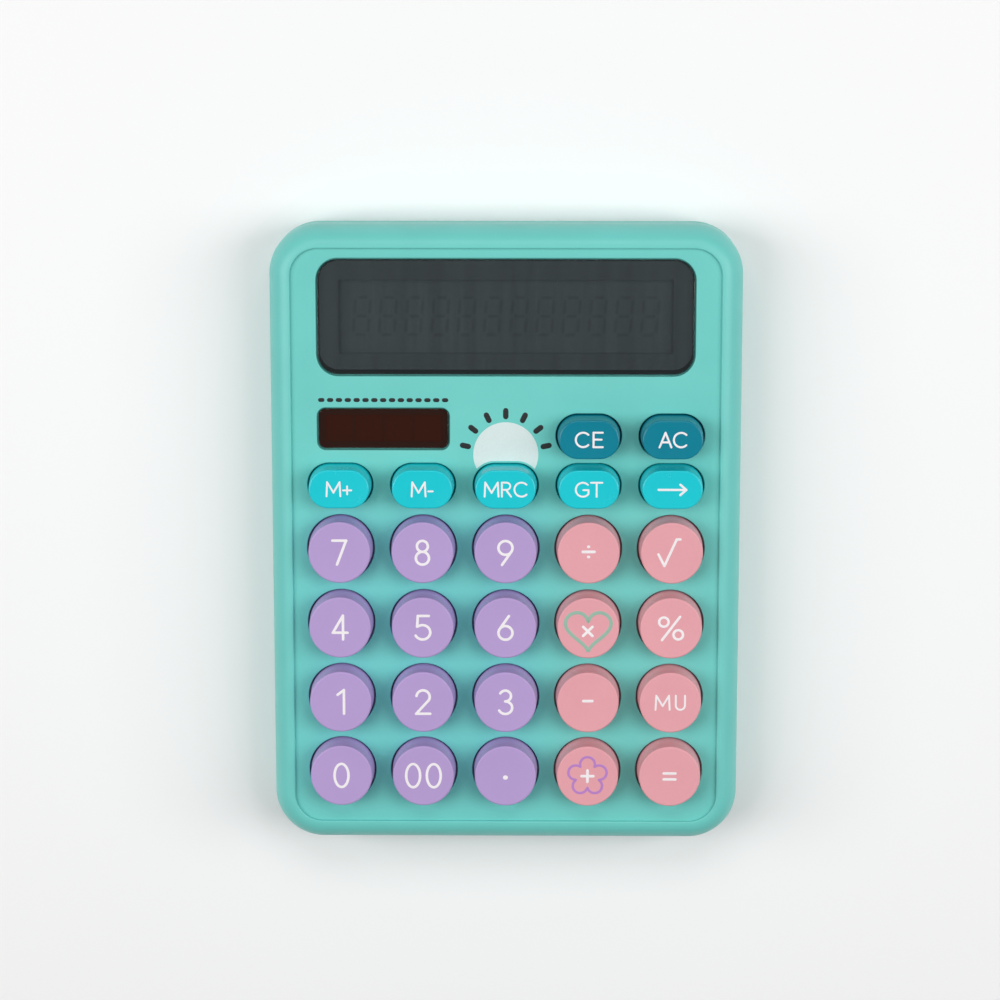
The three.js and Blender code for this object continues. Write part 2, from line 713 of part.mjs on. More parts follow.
/** Button cell and its two spring contacts under the board. */
function cellModule() {
  const radius = cellDiameter / 2;
  const cell = solid(turned([
    [0, 0], [radius - cellEdge, 0], [radius, cellEdge], [radius, cellHeight - 2 * cellEdge],
    [radius - 2 * cellEdge, cellHeight], [0, cellHeight],
  ], discSides));
  const padZ = boardZ - gap;
  const touchZ = cellZ + cellHeight + gap;
  const padEnd = sleeveRadius + cellSleeveWall + contactWidth;
  const strip = (name, path) => {
    const lower = path.map(([x, z]) => [x, z - contactThickness]);
    const outline = polygon([...lower, ...path.toReversed()]);
    const geometry = prism(outline, -contactWidth / 2, contactWidth / 2).rotateX(Math.PI / 2);
    return piece(name, solid(geometry), colours.nickel, { roughness: 0.3, metalness: 1, y: cellY });
  };
  const leg = -radius - gap;
  const footZ = cellZ + contactLegGap;
  const legOutline = polygon([
    [-padEnd, padZ - contactThickness], [leg - contactThickness, padZ - contactThickness],
    [leg - contactThickness, footZ], [leg, footZ], [leg, padZ], [-padEnd, padZ],
  ]);
  const plus = prism(legOutline, -contactWidth / 2, contactWidth / 2).rotateX(Math.PI / 2);
  return [
    piece('button_cell', cell, colours.steel, { roughness: 0.25, metalness: 1, y: cellY, z: cellZ }),
    strip('battery_contact_minus', [
      [-contactFlat / 2, touchZ + contactThickness], [contactFlat / 2, touchZ + contactThickness],
      [sleeveRadius, padZ], [padEnd, padZ],
    ]),
    piece('battery_contact_plus', solid(plus), colours.nickel, { roughness: 0.3, metalness: 1, y: cellY }),
  ];
}

// ---------------------------------------------------------------------------------------------
// Assembly
// ---------------------------------------------------------------------------------------------

const calculator = new THREE.Group();
calculator.add(
  topCover(),
  bottomCover(),
  batteryDoor(),
  ...feet(),
  ...screws('case_screw', caseScrew, caseScrewPlaces, headSeatZ - gap),
  ...screws('board_screw', boardScrew, boardScrewPlaces, boardZ - gap),
  screw('door_screw', doorScrew, [0, doorScrewY], doorScrewSeatZ - gap),
  ...caps(),
  keyMat(),
  ...windows(),
  ...displayModule(),
  ...solarModule(),
  ...board(),
  ...cellModule(),
);

export default calculator;
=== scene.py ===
"""Desk calculator: the finished look of every visible piece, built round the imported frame.

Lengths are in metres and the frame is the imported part's own: the desk is z = 0, the user sits at
-Y and the display is at +Y.
"""
from __future__ import annotations

import json
import logging
import math
from dataclasses import dataclass, field
from enum import Enum
from typing import Iterable, Sequence

import bmesh
import bpy
import numpy as np
from mathutils import Matrix, Vector
from mathutils.geometry import delaunay_2d_cdt


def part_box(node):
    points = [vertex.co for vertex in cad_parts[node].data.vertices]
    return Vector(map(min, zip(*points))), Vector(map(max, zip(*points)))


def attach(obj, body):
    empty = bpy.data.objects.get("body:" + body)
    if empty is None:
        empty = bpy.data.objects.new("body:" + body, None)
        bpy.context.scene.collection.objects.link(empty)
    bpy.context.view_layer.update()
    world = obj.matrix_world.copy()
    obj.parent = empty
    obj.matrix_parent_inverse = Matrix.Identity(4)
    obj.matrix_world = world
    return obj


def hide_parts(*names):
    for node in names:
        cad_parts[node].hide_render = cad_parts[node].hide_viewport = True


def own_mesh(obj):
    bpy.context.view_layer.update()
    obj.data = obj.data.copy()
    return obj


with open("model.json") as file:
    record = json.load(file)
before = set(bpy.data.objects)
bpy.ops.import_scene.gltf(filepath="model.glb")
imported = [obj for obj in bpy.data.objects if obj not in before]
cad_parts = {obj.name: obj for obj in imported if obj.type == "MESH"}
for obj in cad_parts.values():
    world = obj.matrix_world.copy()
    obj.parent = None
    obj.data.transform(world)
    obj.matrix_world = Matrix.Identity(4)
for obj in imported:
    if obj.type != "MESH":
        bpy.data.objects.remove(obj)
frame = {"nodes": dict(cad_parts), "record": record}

MM = 0.001
LOG = logging.getLogger("calculator")
CASE_BODY = "case"
MERGE_DISTANCE = 2e-7
SHARP_ANGLE = math.radians(38)
CAP_SIDES = 14
HEAD_SIDES = 8
FRAME_FILM = 0.04 * MM
CASE_SCREWS = tuple(f"case_screw_{number}" for number in range(1, 7))
BOARD_SCREWS = tuple(f"board_screw_{number}" for number in range(1, 5))
FOOT_SIDES = ("front_left", "front_right", "rear_left", "rear_right")


# --- Shader graphs ---

Colour = tuple[float, float, float]


def srgb(red: float, green: float, blue: float) -> Colour:
    """Linear colour of a display colour given as 0 to 255."""
    def linear(value: float) -> float:
        part = value / 255
        return part / 12.92 if part <= 0.04045 else ((part + 0.055) / 1.055) ** 2.4
    return linear(red), linear(green), linear(blue)


@dataclass(frozen=True)
class Signal:
    """An output socket of a shader graph that can be used in Python arithmetic."""

    graph: "Graph"
    socket: bpy.types.NodeSocket

    def _maths(self, operation: str, *values: "Signal | float") -> "Signal":
        """A Math node on this graph."""
        return self.graph.node("ShaderNodeMath", {"operation": operation}, dict(enumerate(values)))

    def __add__(self, other: "Signal | float") -> "Signal":
        """Sum."""
        return self._maths("ADD", self, other)

    __radd__ = __add__

    def __sub__(self, other: "Signal | float") -> "Signal":
        """Difference."""
        return self._maths("SUBTRACT", self, other)

    def __rsub__(self, other: float) -> "Signal":
        """Reflected difference."""
        return self._maths("SUBTRACT", other, self)

    def __mul__(self, other: "Signal | float") -> "Signal":
        """Product."""
        return self._maths("MULTIPLY", self, other)

    __rmul__ = __mul__

    def __truediv__(self, other: "Signal | float") -> "Signal":
        """Quotient."""
        return self._maths("DIVIDE", self, other)

    def __gt__(self, other: "Signal | float") -> "Signal":
        """1 where this is greater, else 0."""
        return self._maths("GREATER_THAN", self, other)

    def __lt__(self, other: "Signal | float") -> "Signal":
        """1 where this is less, else 0."""
        return self._maths("LESS_THAN", self, other)

    def fract(self) -> "Signal":
        """Fractional part."""
        return self._maths("FRACT", self)

    def about(self, span: float) -> "Signal":
        """A signal centred on 0.5 as a swing of a given span about 0."""
        return (self - 0.5) * span

    def clamped(self) -> "Signal":
        """Held between 0 and 1."""
        return self.graph.node("ShaderNodeClamp", {}, {0: self})


class Graph:
    """Node tree of one material, with a Principled surface."""

    def __init__(self, name: str) -> None:
        """Starts a material.

        Args:
            name: the material's name.
        """
        self.material = bpy.data.materials.new(name)
        self.material.use_nodes = True
        self.tree = self.material.node_tree
        self.surface = self.tree.nodes["Principled BSDF"]

    def node(self, kind: str, settings: dict[str, object] | None = None,
             inputs: dict[int | str, object] | None = None, output: int | str = 0) -> Signal:
        """Adds a node.

        Args:
            kind: the node's type name.
            settings: its properties; "stops" sets a ramp's stops as (place, colour) pairs.
            inputs: values or signals by socket name or number.
            output: which output to return.

        Returns:
            The chosen output.
        """
        made = self.tree.nodes.new(kind)
        for key, value in (settings or {}).items():
            if key == "stops":
                self._set_stops(made, value)
            else:
                setattr(made, key, value)
        for key, value in (inputs or {}).items():
            self.feed(made.inputs[key], value)
        return Signal(self, made.outputs[output])

    def feed(self, socket: bpy.types.NodeSocket, value: object) -> None:
        """Links a signal to a socket, or sets its value."""
        if isinstance(value, Signal):
            self.tree.links.new(value.socket, socket)
        elif isinstance(value, tuple) and socket.type == "RGBA":
            socket.default_value = (*value[:3], 1.0)
        else:
            socket.default_value = value

    @staticmethod
    def _set_stops(ramp: bpy.types.Node, stops: Sequence[tuple[float, Colour]]) -> None:
        """Sets a colour ramp's stops."""
        elements = ramp.color_ramp.elements
        while len(elements) < len(stops):
            elements.new(0.5)
        for element, (place, colour) in zip(elements, stops):
            element.position = place
            element.color = (*colour, 1.0)

    def place(self) -> Signal:
        """Object coordinates, which equal the part's own frame."""
        return self.node("ShaderNodeTexCoord", output="Object")

    def axis(self, name: str) -> Signal:
        """One object coordinate in metres: X, Y or Z."""
        return self.node("ShaderNodeSeparateXYZ", {}, {0: self.place()}, name)

    def noise(self, size: float, detail: float = 2.0, roughness: float = 0.5) -> Signal:
        """Smooth noise about 0.5.

        Args:
            size: width of one patch in metres.
            detail: octaves.
            roughness: how strong the finer octaves are.
        """
        values = {"Vector": self.place(), "Scale": 1 / size, "Detail": detail, "Roughness": roughness}
        return self.node("ShaderNodeTexNoise", {}, values)

    def mix(self, factor: Signal | float, first: object, second: object) -> Signal:
        """Colour mixed from first to second as factor goes from 0 to 1."""
        return self.node("ShaderNodeMix", {"data_type": "RGBA"}, {0: factor, 6: first, 7: second}, 2)

    def tones(self, factor: Signal, colour: Colour, darker: float, lighter: float) -> Signal:
        """One colour mixed between two shares of itself as factor goes from 0 to 1."""
        return self.mix(factor, shaded(colour, darker), shaded(colour, lighter))

    def bump(self, height: Signal, distance: float) -> Signal:
        """Normal that leans with a height signal; distance is the relief in metres."""
        return self.node("ShaderNodeBump", {}, {"Height": height, "Distance": distance, "Strength": 1.0})

    def finish(self, **sockets: object) -> bpy.types.Material:
        """Sets the Principled surface's sockets, named with underscores for spaces.

        Returns:
            The finished material.
        """
        for name, value in sockets.items():
            self.feed(self.surface.inputs[name.replace("_", " ")], value)
        return self.material


def shaded(colour: Colour, amount: float) -> Colour:
    """A colour made lighter by a share above 1 or darker by one below."""
    return tuple(min(1.0, channel * amount) for channel in colour)


# --- Finishes ---

@dataclass(frozen=True)
class MouldedPlastic:
    """Injection-moulded ABS with a fine spark-eroded skin and faint handling marks."""

    name: str
    colour: Colour
    roughness: float = 0.42
    grain: float = 0.00016
    relief: float = 0.000006
    mottle: float = 0.035
    coat: float = 0.0

    def material(self) -> bpy.types.Material:
        """Base colour drifts slowly, roughness follows smears, and the skin is a fine bump."""
        graph = Graph(self.name)
        drift = graph.noise(0.018, 3)
        flecks = graph.noise(0.0006, 2)
        tone = drift.about(1.6) + flecks.about(0.5) + 0.5
        colour = graph.tones(tone.clamped(), self.colour, 1 - self.mottle, 1 + self.mottle)
        smears = graph.noise(0.007, 4, 0.6)
        skin = graph.noise(self.grain, 3, 0.7)
        return graph.finish(
            Base_Color=colour,
            Roughness=self.roughness + smears.about(0.16) + flecks.about(0.06),
            Normal=graph.bump(skin + smears * 0.3, self.relief),
            Coat_Weight=self.coat,
            Coat_Roughness=0.22,
            IOR=1.5,
        )


@dataclass(frozen=True)
class PrintedInk:
    """Pad-printed ink, slightly uneven in cover and duller than the plastic under it."""

    name: str
    colour: Colour
    roughness: float = 0.5

    def material(self) -> bpy.types.Material:
        """Cover varies with a fine noise, and pinholes darken it a little."""
        graph = Graph(self.name)
        cover = graph.noise(0.0005, 3, 0.65)
        drift = graph.noise(0.006, 2)
        tone = (cover.about(1.2) + drift.about(0.8) + 0.5).clamped()
        return graph.finish(
            Base_Color=graph.tones(tone, self.colour, 0.93, 1.04),
            Roughness=self.roughness + cover.about(0.2),
            Normal=graph.bump(cover, 0.000004),
        )


@dataclass(frozen=True)
class TintedAcrylic:
    """Clear cast acrylic, printed or tinted, with a hard-coated face."""

    name: str
    colour: Colour
    alpha: float

    def material(self) -> bpy.types.Material:
        """Nearly smooth face with faint wipe marks; dust shows in the roughness."""
        graph = Graph(self.name)
        wipe = graph.noise(0.012, 4, 0.6)
        dust = graph.noise(0.0009, 2)
        graph.material.blend_method = "BLEND"
        return graph.finish(
            Base_Color=graph.tones(wipe.clamped(), self.colour, 0.9, 1.1),
            Roughness=0.07 + wipe.about(0.05) + dust.about(0.03),
            Alpha=self.alpha + wipe.about(0.03),
            Normal=graph.bump(wipe, 0.000003),
            IOR=1.49,
        )


@dataclass(frozen=True)
class DisplayGlass:
    """Liquid-crystal glass at rest: grey polariser with a slow tint drift."""

    name: str
    colour: Colour
    band: float = 0.0028
    draw: float = 0.03

    def material(self) -> bpy.types.Material:
        """Noise drawn out along Y shows as uneven bands across the glass."""
        graph = Graph(self.name)
        drawn = graph.node("ShaderNodeMapping", {}, {"Vector": graph.place(), "Scale": (1.0, self.draw, 1.0)})
        band = graph.node("ShaderNodeTexNoise", {}, {"Vector": drawn, "Scale": 1 / self.band, "Detail": 2.0})
        drift = graph.noise(0.02, 2)
        tone = (band.about(2.4) + drift.about(0.6) + 0.5).clamped()
        return graph.finish(
            Base_Color=graph.tones(tone, self.colour, 0.88, 1.1),
            Roughness=0.3 + drift.about(0.1),
            Normal=graph.bump(graph.noise(0.0004, 2), 0.000002),
        )


@dataclass(frozen=True)
class SolarGlass:
    """Amorphous silicon on glass: brown film with red patches painted in as glints, and fine scribe lines."""

    name: str
    colour: Colour
    glint: Colour

    def material(self) -> bpy.types.Material:
        """Thin lines run across the strip, and noise mixes the brown film with a red painted glint."""
        graph = Graph(self.name)
        lines = (graph.axis("X") / 0.0011).fract() > 0.92
        drift = graph.noise(0.01, 3)
        film = graph.mix(drift.clamped(), self.colour, self.glint)
        return graph.finish(
            Base_Color=graph.mix(lines * 0.35, film, shaded(self.colour, 0.5)),
            Roughness=0.2 + drift.about(0.1),
            Normal=graph.bump(drift, 0.000002),
        )


@dataclass(frozen=True)
class SoftRubber:
    """Matt rubber or silicone with a fine dusty skin."""

    name: str
    colour: Colour
    roughness: float = 0.8

    def material(self) -> bpy.types.Material:
        """Coarse and fine noise share the bump; dust lightens the high spots."""
        graph = Graph(self.name)
        dust = graph.noise(0.0025, 4, 0.65)
        pores = graph.noise(0.0002, 2)
        return graph.finish(
            Base_Color=graph.tones(dust.clamped(), self.colour, 0.8, 1.35),
            Roughness=self.roughness + dust.about(0.15),
            Normal=graph.bump(pores + dust * 0.5, 0.00001),
        )


@dataclass(frozen=True)
class PlatedMetal:
    """Zinc or nickel plate over steel, with drawn lines and faint stains."""

    name: str
    colour: Colour
    roughness: float = 0.3
    stain: float = 0.18

    def material(self) -> bpy.types.Material:
        """Stains roughen the plate, and fine lines bump it."""
        graph = Graph(self.name)
        stains = graph.noise(0.0018, 4, 0.6)
        grain = graph.noise(0.00015, 2)
        return graph.finish(
            Base_Color=graph.tones(stains.clamped(), self.colour, 1 - self.stain, 1 + self.stain / 2),
            Metallic=1.0,
            Roughness=self.roughness + (stains - 0.5) * 1.4 * self.stain,
            Normal=graph.bump(grain, 0.000003),
        )


@dataclass(frozen=True)
class SolderMask:
    """Green circuit board: mask over copper tracks with tinned pads."""

    name: str
    mask: Colour
    track: Colour

    def material(self) -> bpy.types.Material:
        """Tracks are the edges of a cell pattern, raised a little under the mask."""
        graph = Graph(self.name)
        values = {"Vector": graph.place(), "Scale": 1 / 0.004, "Randomness": 0.35}
        cells = graph.node("ShaderNodeTexVoronoi", {"feature": "DISTANCE_TO_EDGE"}, values)
        track = cells < 0.08
        weave = graph.noise(0.0008, 2)
        base = graph.tones(weave.clamped(), self.mask, 0.85, 1.15)
        return graph.finish(
            Base_Color=graph.mix(track, base, self.track),
            Roughness=0.38 + weave.about(0.15),
            Normal=graph.bump(track + weave * 0.2, 0.00002),
        )


@dataclass(frozen=True)
class PaleFloor:
    """Plain studio sweep in near-white card."""

    name: str
    colour: Colour

    def material(self) -> bpy.types.Material:
        """Barely varied tone and a soft tooth."""
        graph = Graph(self.name)
        tooth = graph.noise(0.0012, 3)
        drift = graph.noise(0.4, 2)
        return graph.finish(
            Base_Color=graph.tones(drift.clamped(), self.colour, 0.985, 1.01),
            Roughness=0.75 + tooth.about(0.1),
            Normal=graph.bump(tooth, 0.00001),
        )


MATERIALS: dict[str, bpy.types.Material] = {}


class Finish(Enum):
    """Every finish on the object, by what wears it."""

    CASE = MouldedPlastic("mint_abs", srgb(110, 205, 197), roughness=0.42)
    LILAC = MouldedPlastic("lilac_abs", srgb(182, 156, 210), roughness=0.42, relief=0.000004)
    PINK = MouldedPlastic("pink_abs", srgb(232, 163, 171), roughness=0.42, relief=0.000004)
    TURQUOISE = MouldedPlastic("turquoise_abs", srgb(24, 203, 214), roughness=0.24, relief=0.0000015)
    DEEP_TEAL = MouldedPlastic("deep_teal_abs", srgb(0, 128, 150), roughness=0.24, relief=0.0000015)
    WHITE_PLASTIC = MouldedPlastic("white_bracket", srgb(226, 226, 222), roughness=0.55)
    LEGEND = PrintedInk("legend_ink", srgb(245, 240, 242))
    HEART = PrintedInk("heart_ink", srgb(150, 186, 168))
    FLOWER = PrintedInk("flower_ink", srgb(186, 128, 200))
    SUN_DISC = PrintedInk("sun_ink", srgb(216, 230, 228))
    MASK = PrintedInk("mask_ink", srgb(16, 22, 22))
    DARK_INK = PrintedInk("dark_ink", srgb(18, 24, 26))
    WINDOW = TintedAcrylic("smoked_acrylic", srgb(40, 46, 48), 0.45)
    SOLAR_WINDOW = TintedAcrylic("brown_acrylic", srgb(50, 22, 12), 0.4)
    # The LCD glass is painted lighter than the surround to offset the shade that falls on it deeper in the opening:
    # painted light.
    DISPLAY = DisplayGlass("display_glass", srgb(158, 174, 178))
    SURROUND = DisplayGlass("surround_ink", srgb(146, 161, 165))
    SEGMENT = DisplayGlass("segment_film", srgb(146, 161, 165))
    # The second colour is a painted glint, mixed into the brown film in random patches.
    SOLAR = SolarGlass("solar_film", srgb(90, 46, 28), srgb(116, 44, 28))
    SOLAR_EDGE = PrintedInk("solar_edge_ink", srgb(60, 28, 18))
    BLACK_RESIN = SoftRubber("black_resin", srgb(20, 20, 22), roughness=0.35)
    ZEBRA = SoftRubber("conductive_rubber", srgb(30, 30, 32))
    FOOT = SoftRubber("foot_rubber", srgb(44, 48, 50))
    SILICONE = SoftRubber("silicone", srgb(214, 220, 220), roughness=0.6)
    SCREW = PlatedMetal("zinc_plate", (0.52, 0.53, 0.55))
    NICKEL = PlatedMetal("nickel_plate", (0.6, 0.57, 0.5), roughness=0.25)
    CELL = PlatedMetal("cell_steel", (0.58, 0.59, 0.61), roughness=0.22)
    LABEL = PlatedMetal("silver_label", (0.62, 0.63, 0.64), roughness=0.45, stain=0.04)
    BOARD = SolderMask("solder_mask", srgb(26, 98, 60), srgb(46, 128, 80))
    RED_LEAD = SoftRubber("red_insulation", srgb(176, 34, 34), roughness=0.5)
    BLACK_LEAD = SoftRubber("black_insulation", srgb(26, 26, 28), roughness=0.5)
    FLOOR = PaleFloor("studio_card", (0.95, 0.95, 0.95))

    def paint(self, *pieces: bpy.types.Object) -> None:
        """Gives pieces this finish, one material shared by all of them."""
        if self.name not in MATERIALS:
            MATERIALS[self.name] = self.value.material()
        for piece in pieces:
            piece.data.materials.clear()
            piece.data.materials.append(MATERIALS[self.name])


# --- Meshes ---

def arc(
        centre: tuple[float, float], radii: tuple[float, float], start: float, end: float, steps: int) -> np.ndarray:
    """Points on an ellipse: centre + radii * (cos t, sin t) for t from start to end degrees."""
    turn = np.radians(np.linspace(start, end, steps + 1))
    return np.stack([centre[0] + radii[0] * np.cos(turn), centre[1] + radii[1] * np.sin(turn)], axis=1)


def fillet(centre: tuple[float, float], radius: float, start: float, end: float, steps: int) -> np.ndarray:
    """Part of a circle in a profile, about its centre, in degrees from +offset towards +z."""
    return arc(centre, (radius, radius), start, end, steps)


def corner_reach(width: float, sides: int) -> float:
    """Radius at the corners of a regular prism, half its width over cos(pi / sides)."""
    return width / 2 / math.cos(math.pi / sides)


def at_height(ring: np.ndarray, z: float) -> np.ndarray:
    """2-D points as 3-D points at one height."""
    return np.column_stack([ring, np.full(len(ring), z)])


def path(*parts: Iterable[Sequence[float]]) -> np.ndarray:
    """Several runs of 2-D points joined end to end."""
    return np.concatenate([np.atleast_2d(np.asarray(part, dtype=float)) for part in parts])


@dataclass(frozen=True)
class RoundOutline:
    """A circle, or an oval whose ends are half circles, that can grow by an offset."""

    x: float
    y: float
    radius: float
    half_stretch: float = 0.0
    count: int = 64

    def ring(self, offset: float) -> np.ndarray:
        """Points (radius + offset) * (cos t, sin t), the halves moved apart along X."""
        turn = (np.arange(self.count) + 0.5) * 2 * np.pi / self.count
        radius = max(self.radius + offset, 0.0)
        across = radius * np.cos(turn) + np.sign(np.cos(turn)) * self.half_stretch
        return np.stack([self.x + across, self.y + radius * np.sin(turn)], axis=1)


@dataclass(frozen=True)
class BoxOutline:
    """A rectangle with round corners that can grow by an offset."""

    x: float
    y: float
    width: float
    length: float
    corner: float
    per_corner: int = 12
    per_side: int = 6

    def ring(self, offset: float) -> np.ndarray:
        """Four quarter circles of radius corner + offset, joined by evenly divided sides."""
        radius = max(self.corner + offset, 1e-5)
        half = np.array([self.width / 2 + offset - radius, self.length / 2 + offset - radius])
        runs = []
        for quarter, (sign_x, sign_y) in enumerate(((1, -1), (1, 1), (-1, 1), (-1, -1))):
            turn = np.radians(np.linspace(-90, 0, self.per_corner + 1) + 90 * quarter)
            corner = np.stack([np.cos(turn), np.sin(turn)], axis=1) * radius + half * (sign_x, sign_y)
            runs.append(corner)
        loop = []
        for run, following in zip(runs, runs[1:] + runs[:1]):
            share = np.linspace(0, 1, self.per_side + 1)[1:-1, None]
            loop += [run, run[-1] + share * (following[0] - run[-1])]
        return np.concatenate(loop) + (self.x, self.y)


Outline = RoundOutline | BoxOutline


@dataclass
class Draft:
    """A mesh in the making: grids and flat plates that share their edges."""

    points: list[np.ndarray] = field(default_factory=list)
    faces: list[list[int]] = field(default_factory=list)
    smooth: list[bool] = field(default_factory=list)
    size: int = 0

    def _add(self, points: np.ndarray) -> int:
        """Adds points and returns the first one's number."""
        first = self.size
        self.points.append(points)
        self.size += len(points)
        return first

    def grid(self, grid: np.ndarray, closed: bool = True, smooth: bool = True) -> None:
        """Adds an (m, n, 3) grid of points as quads; closed joins its last column to its first."""
        rows, columns = grid.shape[:2]
        index = self._add(grid.reshape(-1, 3)) + np.arange(rows * columns).reshape(rows, columns)
        after = np.roll(index, -1, axis=1)
        stop = columns if closed else columns - 1
        quads = np.stack([index[:-1], after[:-1], after[1:], index[1:]], axis=2)[:, :stop].reshape(-1, 4)
        self.faces += quads.tolist()
        self.smooth += [smooth] * len(quads)

    def sweep(self, outline: Outline, profile: np.ndarray, lids: Sequence[tuple[int, bool]] = ()) -> None:
        """Carries a profile round an outline and may close its ends.

        Args:
            outline: the path, which grows by each offset.
            profile: (offset, z) pairs.
            lids: which points of the profile get a flat lid, and whether it is shaded smooth.
        """
        self.grid(np.stack([at_height(outline.ring(offset), z) for offset, z in profile]))
        for end, smooth in lids:
            self.lid(outline.ring(profile[end, 0]), profile[end, 1], smooth)

    def film(self, plan: np.ndarray, low: float, high: float) -> None:
        """Closes a thin flat film over an (m, n, 2) grid of plan points, between two heights."""
        rim = np.concatenate([plan[0], plan[1:, -1], plan[-1, -2::-1], plan[-2:0:-1, 0]])
        for z in (low, high):
            level = np.full((*plan.shape[:2], 1), z)
            self.grid(np.concatenate([plan, level], axis=2), closed=False, smooth=False)
        self.grid(np.stack([at_height(rim, z) for z in (low, high)]), smooth=False)

    def lid(self, ring: np.ndarray, z: float, smooth: bool = False) -> None:
        """Closes a flat ring of 2-D points at a height with a fan about its middle."""
        centre = self._add(np.array([[*ring.mean(axis=0), z]]))
        first = self._add(at_height(ring, z))
        count = len(ring)
        self.faces += [[centre, first + i, first + (i + 1) % count] for i in range(count)]
        self.smooth += [smooth] * count

    def plate(self, outer: np.ndarray, holes: Sequence[np.ndarray], z: float) -> None:
        """Fills between an outer ring and convex holes at a height, by constrained triangles."""
        rings = [outer, *holes]
        starts = np.cumsum([0, *(len(ring) for ring in rings)])
        corners = np.concatenate(rings)
        edges = [
            (int(start + i), int(start + (i + 1) % len(ring)))
            for ring, start in zip(rings, starts) for i in range(len(ring))
        ]
        flat = [Vector(corner / MM) for corner in corners]
        found = delaunay_2d_cdt(flat, edges, [], 1, 1e-6)
        owner = np.searchsorted(starts, [origin[0] for origin in found[3]], side="right") - 1
        first = self._add(at_height(np.array([point[:] for point in found[0]]) * MM, z))
        for face in found[2]:
            rings_met = {int(owner[corner]) for corner in face}
            if len(rings_met) == 1 and rings_met != {0}:
                continue
            self.faces.append([first + corner for corner in face])
            self.smooth.append(False)

    def build(self, name: str) -> bpy.types.Object:
        """Makes the object: shared points merged, faces outwards, edges sharp past an angle.

        Args:
            name: the object's name.

        Returns:
            The new object, at the origin.
        """
        mesh = bpy.data.meshes.new(name)
        mesh.from_pydata(np.concatenate(self.points).tolist(), [], self.faces)
        mesh.polygons.foreach_set("use_smooth", self.smooth)
        shell = bmesh.new()
        shell.from_mesh(mesh)
        bmesh.ops.remove_doubles(shell, verts=shell.verts, dist=MERGE_DISTANCE)
        bmesh.ops.dissolve_degenerate(shell, dist=MERGE_DISTANCE, edges=shell.edges)
        bmesh.ops.recalc_face_normals(shell, faces=shell.faces)
        shell.to_mesh(mesh)
        shell.free()
        mesh.set_sharp_from_angle(angle=SHARP_ANGLE)
        made = bpy.data.objects.new(name, mesh)
        bpy.context.scene.collection.objects.link(made)
        return made


def settle(piece: bpy.types.Object, body: str, finish: Finish, *nodes: str) -> bpy.types.Object:
    """Rides a piece on a body, paints it and lets it stand for CAD nodes.

    Args:
        piece: the new piece.
        body: the body that it moves with.
        finish: what it is made of.
        nodes: CAD nodes that it replaces.

    Returns:
        The same piece.
    """
    finish.paint(piece)
    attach(piece, body)
    if nodes:
        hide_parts(*nodes)
        slot_of(nodes[0])
    LOG.info("%s on %s, %d faces", piece.name, body, len(piece.data.polygons))
    return piece


def slot_of(node: str) -> str:
    """The record's material slot of a CAD node."""
    return next(part["material_slot"] for part in frame["record"]["subparts"] if part["node"] == node)


@dataclass(frozen=True)
class Extent:
    """A CAD node's box."""

    low: Vector
    high: Vector

    @classmethod
    def of(cls, node: str) -> "Extent":
        """Box of a node at rest."""
        low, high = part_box(node)
        return cls(Vector(low), Vector(high))

    @property
    def middle(self) -> Vector:
        """Centre of the box."""
        return (self.low + self.high) / 2

    @property
    def size(self) -> Vector:
        """Width, length and height."""
        return self.high - self.low

    def outline(self, corner: float, grow: float = 0.0, per_corner: int = 12, per_side: int = 8) -> BoxOutline:
        """Its plan with round corners, grown on every side."""
        middle, size = self.middle, self.size
        return BoxOutline(
            middle.x, middle.y, size.x + 2 * grow, size.y + 2 * grow, corner, per_corner, per_side,
        )

    def circle(self, radius: float, count: int, half_stretch: float = 0.0) -> RoundOutline:
        """A circle or an oval about its middle."""
        return RoundOutline(self.middle.x, self.middle.y, radius, half_stretch, count)


# --- Legends ---

@dataclass(frozen=True)
class Glyph:
    """A character's centre lines in a box one unit high, and its width."""

    width: float
    strokes: tuple[np.ndarray, ...]

    def turned(self) -> "Glyph":
        """The same glyph turned half round."""
        return Glyph(self.width, tuple(np.array([self.width, 1.0]) - stroke for stroke in self.strokes))


def bars(*ends: tuple[float, float, float, float]) -> tuple[np.ndarray, ...]:
    """Straight strokes, each from (x, y) to (x, y)."""
    return tuple(np.array([end[:2], end[2:]], dtype=float) for end in ends)


def capital_c_arc(end: float) -> np.ndarray:
    """Open round of C and G, from its upper tip to an angle."""
    return arc((0.5, 0.5), (0.5, 0.5), 46, end, 24)


def six() -> Glyph:
    """A full round with a straight tail that leaves it at a tangent."""
    return Glyph(0.58, (arc((0.29, 0.29), (0.29, 0.29), 0, 360, 32), path((0.43, 1), (0.052, 0.455))))


